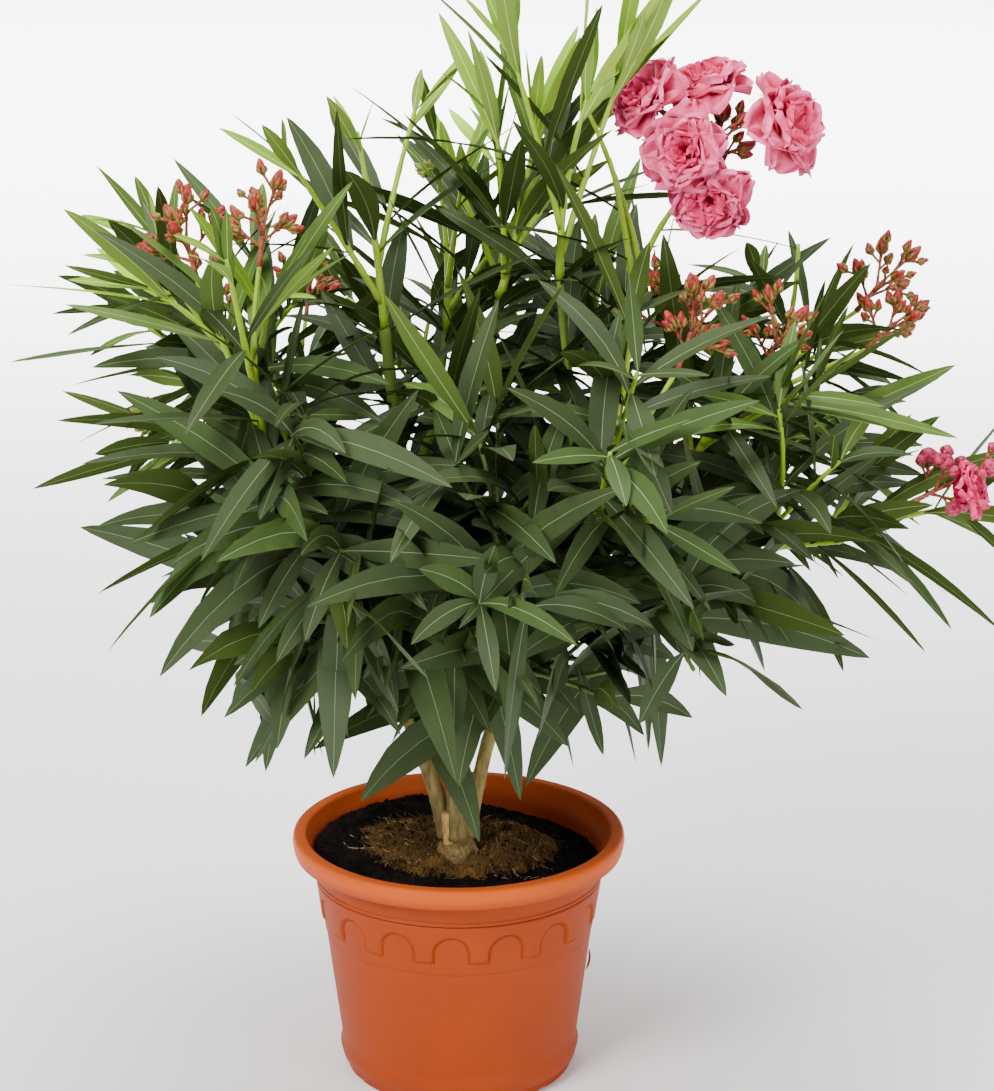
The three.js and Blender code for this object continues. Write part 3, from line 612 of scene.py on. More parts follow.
stump_top = stump_high.z
stem_seat_depth = 5.0
stem_flare = 2.4
stem_seats = {"left": (-9, -1, -12), "middle": (-1, -7, -2), "right": (7, -1, 10), "back": (-1, 8, 2)}
bough_flare = 0.7
limb_tip_ratio = 0.62
stem_stiffness = 0.46
bough_stiffness = 0.36
arrival_stiffness = 0.32
scar_gap = 27.0
bark_step = 3.2
bark_sides = 18
bark_chords = 39
first_stem_seed = 60
first_bough_seed = 80
up = np.array([0.0, 0.0, 1.0])

# Each limb: what it forks from, at what share of that run, its foot's radius, and
# where it ends as bearing in degrees, reach and height.
Limb = namedtuple("Limb", "parent share foot_radius end")
limbs = {name: Limb(*row) for name, row in {
    "left": ("stump", 0, 6.4, (-172, 146, 523)),
    "middle": ("stump", 0, 6.8, (175, 54, 591)),
    "right": ("stump", 0, 5.6, (9, 131, 603)),
    "back": ("stump", 0, 5.6, (95, 150, 450)),
    "outer": ("right", 0.3, 4.6, (-15, 226, 424)),
    "left_front": ("left", 0.52, 4.4, (-140, 173, 522)),
    "left_back": ("left", 0.66, 4, (166, 160, 474)),
    "left_low": ("left", 0.4, 4.2, (-127, 142, 440)),
    "inner_low": ("middle", 0.22, 4, (-160, 80, 338)),
    "left_under": ("left", 0.26, 4, (-106, 100, 362)),
    "front": ("middle", 0.4, 4.4, (-80, 132, 420)),
    "back_centre": ("middle", 0.55, 4.2, (96, 92, 574)),
    "top": ("middle", 0.64, 4.2, (32, 38, 612)),
    "top_right": ("right", 0.6, 4.2, (-15, 79, 632)),
    "front_right": ("right", 0.4, 4.4, (-54, 158, 461)),
    "front_low": ("right", 0.16, 4, (-64, 92, 335)),
    "right_back": ("right", 0.5, 4.2, (20, 240, 510)),
    "right_upper": ("outer", 0.48, 3.8, (-17, 178, 488)),
    "right_middle": ("outer", 0.36, 3.8, (18, 218, 440)),
    "right_low": ("outer", 0.6, 3.6, (-36, 170, 398)),
    "back_left": ("back", 0.36, 4.2, (137, 168, 466)),
    "back_right": ("back", 0.44, 4.2, (52, 166, 476)),
    "back_low": ("back", 0.24, 4, (106, 104, 350)),
    "back_under": ("back", 0.3, 4, (38, 108, 362)),
    "back_top": ("back", 0.6, 4, (70, 92, 600)),
}.items()}


def at(place):
    """The point at a bearing in degrees, a reach and a height."""
    bearing, reach, height = place
    turn = math.radians(bearing)
    return np.array([reach * math.cos(turn), reach * math.sin(turn), height])


def unit(vector):
    """The same heading, of length one."""
    return vector / np.linalg.norm(vector, axis=-1, keepdims=True)


def along_curve(controls, share):
    """Point and unit heading at a share of a Bezier curve, found by mixing its control
    points pair by pair until one pair is left."""
    t = np.asarray(share, float)[..., None]
    rows = [np.asarray(c, float) for c in controls]
    while len(rows) > 2:
        rows = [mix(a, b, t) for a, b in zip(rows, rows[1:])]
    return mix(rows[0], rows[1], t), unit(rows[1] - rows[0])


def bent_curve(start, heading, end, arrival, stiffness):
    """Controls of a curve that leaves along one heading and arrives along another."""
    span = np.linalg.norm(end - start)
    return [start, start + heading * span * stiffness, end - arrival * span * arrival_stiffness, end]


def limb_curve(name, curves):
    """A limb's curve: a stem leaves its seat on the stump, a bough leaves its parent
    partly along it, and either arrives turned up towards the light."""
    limb = limbs[name]
    end = at(limb.end)
    if limb.parent == "stump":
        x, y, lean = stem_seats[name]
        start = np.array([stump_place[0] + stump_lean + x, stump_place[1] + y, stump_top - stem_seat_depth])
        outward = unit(np.array([math.sin(math.radians(lean)), y * 0.012, math.cos(math.radians(lean))]))
        arrival = unit(unit(end - start) * 0.7 + up * 0.5)
        return bent_curve(start, outward, end, arrival, stem_stiffness)
    start, along = along_curve(curves[limb.parent], limb.share)
    towards = unit(end - start)
    arrival = unit(towards * 0.8 + up * 0.42)
    return bent_curve(start, unit(along * 0.55 + towards * 0.75), end, arrival, bough_stiffness)


limb_curves = {}
for name in limbs:
    limb_curves[name] = limb_curve(name, limb_curves)


def curve_length(controls, chords):
    """A curve's length, as the sum of short chords."""
    points = along_curve(controls, np.linspace(0, 1, chords + 1))[0]
    return np.linalg.norm(np.diff(points, axis=0), axis=1).sum()


def bark_tube(controls, foot_radius, seed, flare):
    """A limb with bark relief. Radius = taper + flare at the foot + a low ridge at each
    leaf scar + shallow flutes and wrinkles, all as sines round and along the limb."""
    tip_radius = foot_radius * limb_tip_ratio
    span = curve_length(controls, bark_chords)
    rows = max(8, round(span / bark_step))
    share = np.linspace(0, 1, rows)
    centres, headings = along_curve(controls, share)
    run = (share * span)[:, None]
    angle = np.linspace(0, 2 * math.pi, bark_sides, endpoint=False)[None]
    rng = np.random.default_rng(seed)
    a, b, c, d = rng.uniform(0, 2 * math.pi, 4)
    scars = 0.5 * np.exp(-(((run + 9 * a) % scar_gap - scar_gap / 2) / 2.0) ** 2)
    flutes = 0.22 * np.sin(3 * angle + run / 30 + a) + 0.16 * np.sin(5 * angle - run / 17 + b)
    wrinkles = 0.12 * np.sin(8 * angle + run / 4.5 + c) + 0.12 * np.sin(2 * angle + run / 6 + d)
    smooth_radius = mix(foot_radius, tip_radius, share[:, None]) + flare * np.exp(-run / 11)
    radius = smooth_radius + scars + flutes + wrinkles
    rings = rings_along(centres[None], headings[None], radius[None], bark_sides)
    foot = centres[:1] - headings[:1] * foot_radius * 0.4
    return skin(rings, foot, centres[-1:] + headings[-1:] * tip_radius * 0.5)


def joined(bodies):
    """Several skins as one: points end to end, and faces renumbered to match."""
    offset = np.cumsum([0] + [len(points) for points, _ in bodies[:-1]])
    points = np.concatenate([points for points, _ in bodies])
    faces = [np.concatenate([faces[i] + o for (_, faces), o in zip(bodies, offset)]) for i in (0, 1)]
    return points, faces


def limb_skins(names, first_seed, flare):
    """The bark skins of several limbs as one."""
    return joined([
        bark_tube(limb_curves[name], limbs[name].foot_radius, first_seed + i, flare)
        for i, name in enumerate(names)])


stem_names = [name for name, limb in limbs.items() if limb.parent == "stump"]
bough_names = [name for name in limbs if name not in stem_names]
stem_points, stem_faces = limb_skins(stem_names, first_stem_seed, stem_flare)
stem_wood = old_bark("smooth_stem_bark", "#6a5a2c", "#8c7e46", "#b09c62", 4.0, 0.2)
stem_nodes = [name + "_stem" for name in stem_names]
make_piece("stems", stem_points, stem_faces, [stem_wood], "stem_bark", stem_nodes)

bough_points, bough_faces = limb_skins(bough_names, first_bough_seed, bough_flare)
bough_wood = old_bark("green_bough_bark", "#37401a", "#66733a", "#8a8a4c", 2.4, 0.35)
bough_nodes = [name + "_bough" for name in bough_names]
make_piece("boughs", bough_points, bough_faces, [bough_wood], "stem_bark", bough_nodes)

# A pruned stub between the left and middle stems shows its pale wood: a straight,
# slightly leaning peg whose radius waves two and five times round.
stub_height = 26.0
stub_mean_radius = 4.0
stub_rows = 14
stub_sides = 14
stub_foot = np.array([stump_place[0] - 4.5, stump_place[1] - 9.0, stump_top - 9])
stub_tip = stub_foot + np.array([-2.0, -1.5, stub_height])
stub_share = np.linspace(0, 1, stub_rows)
stub_centres = mix(stub_foot, stub_tip, stub_share[:, None])[None]
stub_angle = np.linspace(0, 2 * math.pi, stub_sides, endpoint=False)
stub_radius = stub_mean_radius * (
    1 + 0.09 * np.sin(2 * stub_angle[None] + 1)
    + 0.05 * np.sin(5 * stub_angle[None] + 9 * stub_share[:, None]))
stub_rings = rings_along(stub_centres, headings_of(stub_centres), stub_radius[None], stub_sides)
stub_points, stub_faces = skin(stub_rings, stub_foot[None], stub_tip[None] + [[0.6, 0.2, 1.2]])
cut_wood = old_bark("peeled_cut_wood", "#b0883c", "#e2bc6c", "#f0d290", 1.2, 0.4)
make_piece("pruned_stub", stub_points, stub_faces, [cut_wood], "stem_bark", ["middle_stem"], crease=40)

# ---- Shoots ----
# Green shoots that grow on from every limb's tip and fork: this year's sappy wood,
# bright yellow-green where it stands in the light and dark green low down.

twig_base_radius = 3.2
twig_tip_radius = 1.5
side_shoot_ratio = 0.82
side_shoot_thickness = 0.85
spur_ratio = 0.46
spur_thickness = 0.62
spur_leaf_size = 0.8
first_spur_code = 10
limb_clearance = 0.3
shoot_sides = 7
shoot_rows = 18
shaded_limit = 0.6

# Each mass of foliage, in the order that numbers its seeds: the limb that it grows
# on, its leading tip as bearing, reach and height, how many shoots fork, the turn
# of the first, how far they open, how far old leaves hang, and its blossom.
Mass = namedtuple("Mass", "limb tip side_shoots first_turn spread droop bloom")
masses = [Mass(*row) for row in (
    ("left", (-173, 226, 628), 2, 300, 40, 0.35, ""),
    ("middle", (180, 72, 738), 2, 220, 28, 0.2, ""),
    ("right", (3, 182, 706), 2, 200, 34, 0.3, "open"),
    ("back", (94, 240, 556), 3, 20, 46, 0.5, ""),
    ("outer", (-13, 344, 478), 2, 30, 40, 0.5, "ripe"),
    ("left_front", (-138, 181, 664), 2, 75, 28, 0.3, "buds"),
    ("left_back", (167, 232, 506), 2, 10, 44, 0.5, "green"),
    ("left_low", (-127, 208, 504), 3, 120, 50, 0.8, ""),
    ("inner_low", (-158, 150, 404), 3, 60, 54, 0.95, ""),
    ("left_under", (-112, 168, 430), 3, 10, 54, 0.95, ""),
    ("front", (-84, 163, 548), 2, 160, 46, 0.7, ""),
    ("back_centre", (98, 104, 684), 2, 90, 34, 0.3, "green"),
    ("top", (20, 62, 738), 2, 210, 26, 0.2, ""),
    ("top_right", (-12, 99, 770), 2, 15, 26, 0.2, ""),
    ("front_right", (-37, 198, 588), 2, 150, 34, 0.55, "buds"),
    ("front_low", (-66, 166, 402), 3, 80, 54, 0.95, ""),
    ("right_back", (18, 330, 588), 2, 140, 34, 0.45, "buds"),
    ("right_upper", (-15, 230, 574), 2, 330, 40, 0.45, "buds"),
    ("right_middle", (17, 292, 486), 2, 250, 44, 0.55, "green"),
    ("right_low", (-36, 244, 428), 3, 45, 52, 0.9, ""),
    ("back_left", (139, 254, 560), 3, 100, 42, 0.5, "buds"),
    ("back_right", (49, 250, 568), 3, 240, 42, 0.5, ""),
    ("back_low", (112, 180, 396), 3, 70, 54, 0.95, ""),
    ("back_under", (34, 186, 410), 3, 20, 54, 0.95, ""),
    ("back_top", (76, 118, 716), 2, 180, 32, 0.3, ""),
)]
foliage_nodes = [mass.limb + "_foliage" for mass in masses]


def chance(*keys):
    """A seeded number from 0 to 1, the same for the same whole-number keys: each key is
    mixed in by a multiply and a shift, and the result is read as a share of 2 ** 32."""
    h = 0x9E3779B9
    for key in keys:
        h = ((h ^ key) * 0x85EBCA6B) & 0xFFFFFFFF
        h = h ^ (h >> 13)
        h = (h * 0xC2B2AE35) & 0xFFFFFFFF
        h = h ^ (h >> 16)
    return h / 4294967296


def tilted(axis, angle, turn):
    """A heading tilted from an axis by an angle, at a turn round that axis, in radians."""
    side = up if abs(axis[2]) < 0.95 else np.array([1.0, 0.0, 0.0])
    across = unit(np.cross(axis, side))
    along = unit(np.cross(across, axis))
    return axis * math.cos(angle) + (along * math.cos(turn) + across * math.sin(turn)) * math.sin(angle)


def sprung_curve(start, heading, end):
    """Controls of a curve that leaves along a heading and bends once to its end."""
    return [start, start + heading * np.linalg.norm(end - start) * 0.5, end]


def forked_curve(root, axis, angle, turn, length, lift):
    """A side shoot's curve: it leaves the axis of the shoot that carries it at an angle
    in degrees and a turn in radians, and its tip is lifted by a share of its length."""
    towards = tilted(axis, math.radians(angle), turn)
    end = root + towards * length + up * lift * length
    return sprung_curve(root, unit(axis * 0.3 + towards), end)


def shoots_of(number, mass):
    """The leading shoot, the side shoots that fork from it, and short spurs low on each,
    two where the mass hangs low, one at mid height and none at the top. A fork leaves
    tilted by the mass's spread, lifted towards the light as it droops less, and the
    first one of a budding mass has a cluster of its own, but for the front right."""
    limb_tip, heading = along_curve(limb_curves[mass.limb], 1.0)
    start = limb_tip + heading * limb_clearance
    tip = at(mass.tip)
    run = np.linalg.norm(tip - start)
    leader = sprung_curve(start, heading, tip)
    shoots = [{"curve": leader, "code": 0, "thick": 1.0, "bloom": mass.bloom, "size": 1.0}]
    for j in range(mass.side_shoots):
        root, axis = along_curve(leader, 0.07 + 0.2 * j + 0.06 * chance(number, j, 1))
        angle = mass.spread * (0.85 + 0.4 * chance(number, j, 2))
        turn = mass.first_turn + 360 / mass.side_shoots * j + 30 * (chance(number, j, 3) - 0.5)
        length = run * side_shoot_ratio * (0.85 + 0.3 * chance(number, j, 4))
        curve = forked_curve(root, axis, angle, math.radians(turn), length, mix(0.24, 0.02, mass.droop))
        budding = j == 0 and mass.bloom == "buds" and mass.limb != "front_right"
        shoots.append({"curve": curve, "code": j + 1, "thick": side_shoot_thickness,
                       "bloom": "buds" if budding else "", "size": 1.0})
    for shoot in list(shoots):
        for m in range(2 if mass.droop > 0.6 else 1 if mass.droop > 0.3 else 0):
            keys = (number, shoot["code"], 60 + m)
            root, axis = along_curve(shoot["curve"], 0.16 + 0.3 * m + 0.1 * chance(*keys, 1))
            angle = 34 + 22 * chance(*keys, 2)
            turn = 2 * math.pi * chance(*keys, 3)
            length = run * spur_ratio * (0.8 + 0.4 * chance(*keys, 4))
            curve = forked_curve(root, axis, angle, turn, length, mix(0.24, 0.0, mass.droop))
            shoots.append({"curve": curve, "code": first_spur_code + 4 * shoot["code"] + m,
                           "thick": spur_thickness, "bloom": "", "size": spur_leaf_size})
    return shoots


grown = [shoots_of(number, mass) for number, mass in enumerate(masses)]


def shoot_tubes(curves, thick):
    """Tapered green shoots. Radius = taper * thickness, with a slight swelling at every
    third ring, where a whorl of leaves sits."""
    share = np.linspace(0, 1, shoot_rows)
    paths = [along_curve(curve, share) for curve in curves]
    centres = np.stack([points for points, _ in paths])
    headings = np.stack([heading for _, heading in paths])
    swelling = 0.3 * (np.arange(shoot_rows) % 3 == 1)
    radius = mix(twig_base_radius * np.array(thick)[:, None], twig_tip_radius, share[None]) + swelling
    rings = rings_along(centres, headings, radius, shoot_sides)
    return skin(rings, centres[:, 0], centres[:, -1] + headings[:, -1])


def green_shoot(name, shaded, lit):
    """Sappy green wood with a waxy skin: faint paler streaks 3 mm apart along it."""
    material, tree = new_material(name)
    place = add_node(tree, "ShaderNodeTexCoord")
    streaks = add_node(tree, "ShaderNodeTexNoise", {
        "Vector": place.outputs["Object"], "Scale": 1 / (3 * MM), "Detail": 3})
    colour = add_node(tree, "ShaderNodeMix", {
        0: streaks.outputs["Fac"], 6: linear(shaded), 7: linear(lit)}, data_type="RGBA")
    bumps = add_node(tree, "ShaderNodeBump", {
        "Height": streaks.outputs["Fac"], "Strength": 0.4, "Distance": 0.2 * MM})
    shader = add_node(tree, "ShaderNodeBsdfPrincipled", {
        "Base Color": colour.outputs[2], "Roughness": 0.42, "IOR": 1.45, "Normal": bumps.outputs["Normal"]})
    add_node(tree, "ShaderNodeOutputMaterial", {"Surface": shader.outputs["BSDF"]})
    return material


for name, low_down, colours in (
        ("lit_shoots", False, ("#7c9c14", "#a4c42c")), ("shaded_shoots", True, ("#3c5016", "#5a7026"))):
    numbers = [number for number, mass in enumerate(masses) if (mass.droop > shaded_limit) == low_down]
    chosen = [shoot for number in numbers for shoot in grown[number]]
    points, faces = shoot_tubes([shoot["curve"] for shoot in chosen], [shoot["thick"] for shoot in chosen])
    nodes = [foliage_nodes[number] for number in numbers]
    make_piece(name, points, faces, [green_shoot(name[:-1] + "_wood", *colours)], "foliage", nodes)

# ---- Leaves ----
# Whorls of three leathery lance-shaped leaves: dark and waxy above with a pale
# midrib, paler below; upright and yellow-green at the tips, hanging low down.

leaves_in_whorl = 3
open_whorl_gap = 74.0
close_whorl_gap = 37.0
spur_whorl_gap = 30.0
bough_whorl_gap = 39.0
single_whorl_gap = 500.0
bud_gap = 20.0
hanging_bud_gap = 4.0
tip_leaf_gap = 3.0
tip_leaf_size = 0.52
bough_leaf_gap = 8.0
bough_leaf_age = 0.75
spur_leaf_age = 0.3
leafy_share = (0.5, 0.86)
bloom_stalk_length = 52.0
bare_twig_length = 14.0
ripening_length = 150.0
root_stagger = 4.6
shoot_chords = 200
low_leaf_growth = 0.18
first_bough_code = 50
first_tip_code = 100
young_leaf = {"length": 94.0, "width": 14.0, "angle": 15.0}
old_leaf = {"length": 144.0, "width": 25.0, "angle": 76.0}
upright_old_angle = 44.0
under_blossom_angle = 18
blade_stations = np.array([0, 0.1, 0.24, 0.4, 0.56, 0.72, 0.86, 0.95])
stalk_half_width = 0.9
rib_half_width = 0.34
leaf_thickness = 0.9
leaf_hang = 1.0
blade_uv_width = 30
veins_to_leaf = 33
underside_reach = 102.0
underside_height = 180.0
underside_slope = 1.36
underside_limit = 366.0
underside_jitter = 96
lowest_tip = 206.0
crown_lean = 0.2
shortened = {"length": 0.66, "width": 0.85}
truss_clearance = 62.0
leading_masses = ("top", "top_right")
top_height = 806.0
top_slope = 0.42
top_jitter = 50


def whorls_on(curve, number, code, mass, gap, top_gap, size, extra_age, stop):
    """Every leaf of one shoot, from its tip down. Age grows from 0 at the tip to 1
    at ripening_length below it; angle, length and width go from young to old with it,
    each with its own seeded share, and each whorl is turned 30 degrees from the last.
    Old leaves stand out further the more the mass droops, and young ones open wider
    under blossom, which stands clear of them."""
    droop = mass.droop
    length = curve_length(curve, shoot_chords)
    widest = mix(upright_old_angle, old_leaf["angle"], min(1.0, droop / 0.6))
    narrowest = young_leaf["angle"] + (under_blossom_angle if top_gap == bloom_stalk_length else 0)
    phase = 360 / leaves_in_whorl * chance(number, code, 7)
    leaves = []
    k = 0
    while top_gap + k * gap < length - stop:
        from_tip = top_gap + k * gap
        age = min(1.0, from_tip / ripening_length + max(0, 0.7 * droop - 0.2) + extra_age)
        root, axis = along_curve(curve, 1 - from_tip / length)
        for i in range(leaves_in_whorl):
            keys = (number, code, k, i)
            angle = mix(narrowest, widest, age ** 0.7) + 26 * (chance(*keys, 1) - 0.5)
            turn = phase + 360 / leaves_in_whorl * i + 30 * k + 40 * (chance(*keys, 2) - 0.5)
            long = mix(young_leaf["length"], old_leaf["length"], age ** 0.6)
            wide = mix(young_leaf["width"], old_leaf["width"], age ** 0.6)
            size_luck, width_luck = 0.86 + 0.26 * chance(*keys, 3), 0.88 + 0.24 * chance(*keys, 4)
            leaves.append({
                "root": root + axis * (i - 1) * root_stagger,
                "axis": axis,
                "out": tilted(axis, math.radians(angle), math.radians(turn)),
                "length": long * size_luck * size,
                "width": wide * width_luck * mix(1, size, 0.5) * mix(0.84, 1.14, droop ** 3),
                "droop": (droop + 0.22) * (0.3 + 0.7 * age) * (0.35 + 1.2 * chance(*keys, 5)),
                "sway": 0.22 * (chance(*keys, 6) - 0.5),
                "twist": 1.1 * (chance(*keys, 7) - 0.5),
                "fold": 0.12 + 0.2 * chance(*keys, 8),
                "age": age,
                "side": code > 0,
                "luck": chance(*keys, 9),
                "mass": number,
            })
        k += 1
    return leaves


# Leaves clothe every shoot, with one small whorl at its tip where it bears no
# blossom, and the outer stretch of every bough, which is bare further in.
leaves = []
for number, (mass, shoots) in enumerate(zip(masses, grown)):
    shoot_gap = mix(open_whorl_gap, close_whorl_gap, mass.droop)
    grown_by = 1 + low_leaf_growth * smooth(0.5, 0.95, mass.droop)
    for shoot in shoots:
        curve, code, spur = shoot["curve"], shoot["code"], shoot["size"] < 1
        gap, older = (spur_whorl_gap, spur_leaf_age) if spur else (shoot_gap, 0.0)
        top = bloom_stalk_length if shoot["bloom"] else bud_gap if mass.droop < 0.6 else hanging_bud_gap
        size = shoot["size"] * grown_by
        leaves += whorls_on(curve, number, code, mass, gap, top, size, older, bare_twig_length)
        if not shoot["bloom"]:
            leaves += whorls_on(curve, number, first_tip_code + code, mass, single_whorl_gap,
                                tip_leaf_gap, tip_leaf_size, mass.droop * 0.3, 0.0)
    bough = limb_curves[mass.limb]
    bare = curve_length(bough, shoot_chords) * (1 - mix(*leafy_share, smooth(0.6, 0.95, mass.droop)))
    gap = bough_whorl_gap * mix(1.7, 1.0, min(1.0, mass.droop / 0.5))
    leaves += whorls_on(bough, number, first_bough_code, mass, gap, bough_leaf_gap,
                        mix(0.92, 1.05, mass.droop), bough_leaf_age, bare)


def bend_of(column):
    """The foot, elbow and tip of each leaf's midrib: it leaves along the leaf's heading,
    swayed a little sideways, and turns down at the elbow by its droop."""
    out, long = column["out"], column["length"][:, None]
    hanging = unit(out - up * column["droop"][:, None] * leaf_hang)
    sideways = unit(np.cross(out, column["axis"]))
    base = column["root"] + out * 0.9
    elbow = base + out * long * 0.42 + sideways * long * column["sway"][:, None]
    return base, elbow, elbow + hanging * long * 0.6


def columns_of(bodies):
    """Leaves, buds or petals, each a dictionary, as one array for each property."""
    return {key: np.array([body[key] for body in bodies]) for key in bodies[0]}


def kept_in_light(leaves):
    """The leaves whose tips stay above the crown's shaded underside, where old leaves are
    shed: a cone that rises from over the pot to under the outermost boughs, highest
    on the left, since the crown leans to the right."""
    tip = bend_of(columns_of(leaves))[2]
    reach = np.hypot(tip[:, 0], tip[:, 1])
    cone = underside_height + underside_slope * (reach - underside_reach).clip(0)
    floor = np.minimum(cone, underside_limit - crown_lean * tip[:, 0].clip(max=0))
    luck = np.array([leaf["luck"] for leaf in leaves])
    floor = np.maximum(floor + underside_jitter * (luck - 0.5), lowest_tip)
    return [leaf for leaf, kept in zip(leaves, tip[:, 2] > floor) if kept]


crown_low = np.array(cad_low) / MM - 10
crown_high = np.array(cad_high) / MM + 10


def leaf_ceiling(leaf):
    """The height that a leaf may reach: a cone over its root, steeper on the right, and
    no limit for the leaders."""
    if masses[leaf["mass"]].limb in leading_masses:
        return math.inf
    reach = math.hypot(leaf["root"][0], leaf["root"][1])
    lean = crown_lean * max(0.0, leaf["root"][0])
    return top_height - top_slope * reach - lean + top_jitter * (leaf["luck"] - 0.5)


def kept_under_top(leaves):
    """The crown's outline falls away from its leading shoots as a cone, and its sides are
    upright. A leaf that reaches out of it stays a third shorter, and is left out where
    it still rises over the cone."""
    for leaf, tip in zip(leaves, bend_of(columns_of(leaves))[2]):
        aside = (tip[:2] < crown_low[:2]).any() or (tip[:2] > crown_high[:2]).any()
        if aside or tip[2] > leaf_ceiling(leaf):
            leaf["length"] *= shortened["length"]
            leaf["width"] *= shortened["width"]
    heights = bend_of(columns_of(leaves))[2][:, 2]
    return [leaf for leaf, height in zip(leaves, heights) if height <= leaf_ceiling(leaf)]


def clear_of_flowers(leaves):
    """The leaves that neither pass through the open flowers nor hang before them."""
    base, elbow, tip = bend_of(columns_of(leaves))
    kept = np.ones(len(leaves), bool)
    for share in (0.3, 0.6, 0.85, 1.0):
        run = base * (1 - share) ** 2 + elbow * 2 * share * (1 - share) + tip * share ** 2
        beside = np.hypot(run[:, 0] - truss_middle[0], run[:, 2] - truss_middle[2])
        kept &= (beside > truss_clearance) | (run[:, 1] > truss_middle[1] + 40)
    return [leaf for leaf, free in zip(leaves, kept) if free]


truss_number = next(number for number, mass in enumerate(masses) if mass.bloom == "open")
truss_tip = along_curve(grown[truss_number][0]["curve"], 1.0)[0]
truss_middle = truss_tip + np.array([4, 0, 26])

leaves = clear_of_flowers(kept_under_top(kept_in_light(leaves)))


def leaf_blades(leaves):
    """Closed lance-shaped blades, eight points round at each station t of a bent midrib.
    The midrib is a quadratic curve from the root, along the leaf's heading, to a tip that
    hangs as it droops. Half width = sin(pi * t ** 1.08) ** 0.78; each half rises from the
    midrib by fold * s and falls by 0.12 * s * s, so it is folded and its edge curls."""
    column = columns_of(leaves)
    axis = column["axis"]
    base, elbow, tip = bend_of(column)
    t = blade_stations[None, :, None]
    ribs = base[:, None] * (1 - t) ** 2 + elbow[:, None] * 2 * t * (1 - t) + tip[:, None] * t ** 2
    along = unit((elbow - base)[:, None] * (1 - t) + (tip - elbow)[:, None] * t)
    face = unit(axis[:, None] - along * (axis[:, None] * along).sum(-1, keepdims=True))
    across = np.cross(along, face)
    roll = column["twist"][:, None, None] * t
    across, face = across * np.cos(roll) + face * np.sin(roll), face * np.cos(roll) - across * np.sin(roll)
    lance = np.sin(math.pi * blade_stations ** 1.08) ** 0.78
    half = np.maximum(lance[None] * column["width"][:, None] / 2, stalk_half_width)[..., None]
    rib = np.minimum(rib_half_width * (1.1 - 0.7 * blade_stations), 0.7)[None, :, None]
    fold = column["fold"][:, None, None]
    s = np.array([0, 0.55, 1, 0, 0, -1, -0.55, 0])
    rib_side = np.array([1, 0, 0, 1, -1, 0, 0, -1])
    below = np.array([0, 0, 0, 1, 1, 0, 0, 0])
    reach = half * s + rib * rib_side
    lift = half * (fold * abs(s) - 0.12 * s * s) - below * leaf_thickness * (1.15 - t)
    rings = ribs[:, :, None] + across[:, :, None] * reach[..., None] + face[:, :, None] * lift[..., None]
    points, faces = skin(rings, ribs[:, 0] - along[:, 0] * 1.2, tip)
    station = np.concatenate([[0], np.repeat(blade_stations, 8), [1]])
    spread = np.concatenate([[0], (half * s).reshape(len(leaves), -1)[0], [0]])
    uv = np.stack([np.tile(spread / blade_uv_width + 0.5, len(leaves)), np.tile(station, len(leaves))], 1)
    # The materials round a blade: 0 for its top, 1 for its midrib and 2 for its underside.
    strip = np.array([0, 0, 2, 1, 2, 0, 0, 1])
    bands = len(blade_stations) - 1
    which = np.concatenate([np.tile(strip, bands * len(leaves)), np.tile(strip, 2 * len(leaves))])
    return points, faces, which, uv


def leaf_cuticle(name, shaded, lit, roughness, gloss):
    """A leathery leaf's skin: waxy, of a given roughness and gloss, mottled every 16 mm or
    so, with side veins that leave the midrib steeply; real ones are 1 mm apart, and
    there are 33 to a leaf here, about 4 mm apart, so that they show."""
    material, tree = new_material(name)
    place = add_node(tree, "ShaderNodeTexCoord")
    mottle = add_node(tree, "ShaderNodeTexNoise", {
        "Vector": place.outputs["Object"], "Scale": 1 / (16 * MM), "Detail": 2})
    colour = add_node(tree, "ShaderNodeMix", {
        0: mottle.outputs["Fac"], 6: linear(shaded), 7: linear(lit)}, data_type="RGBA")
    split = add_node(tree, "ShaderNodeSeparateXYZ", {"Vector": place.outputs["UV"]})
    side = add_node(tree, "ShaderNodeMath", {0: split.outputs["X"], 1: 0.5}, operation="SUBTRACT")
    spread = add_node(tree, "ShaderNodeMath", {0: side.outputs[0]}, operation="ABSOLUTE")
    slant = add_node(tree, "ShaderNodeMath", {
        0: spread.outputs[0], 1: -0.13, 2: split.outputs["Y"]}, operation="MULTIPLY_ADD")
    beat = add_node(tree, "ShaderNodeMath", {
        0: slant.outputs[0], 1: 2 * math.pi * veins_to_leaf}, operation="MULTIPLY")
    veins = add_node(tree, "ShaderNodeMath", {0: beat.outputs[0]}, operation="SINE")
    relief = add_node(tree, "ShaderNodeBump", {
        "Height": veins.outputs[0], "Strength": 0.13, "Distance": 0.12 * MM})
    shader = add_node(tree, "ShaderNodeBsdfPrincipled", {
        "Base Color": colour.outputs[2], "Roughness": roughness, "IOR": 1.46, "Specular IOR Level": gloss,
        "Normal": relief.outputs["Normal"]})
    add_node(tree, "ShaderNodeOutputMaterial", {"Surface": shader.outputs["BSDF"]})
    return material


# Leaf tints, from the oldest to the youngest, as the mottled top's two tones, the
# midrib and the underside.
tints = {
    "darkest_leaves": ("#293717", "#34451c", "#70805a", "#3a491f"),
    "dark_leaves": ("#31451a", "#3c5221", "#7f9060", "#445425"),
    "grown_leaves": ("#425c1b", "#526f23", "#98a966", "#52672e"),
    "fresh_leaves": ("#6c921a", "#80a628", "#c0d07e", "#7a9640"),
    "young_leaves": ("#92c222", "#acd834", "#dcea92", "#9ec046"),
}


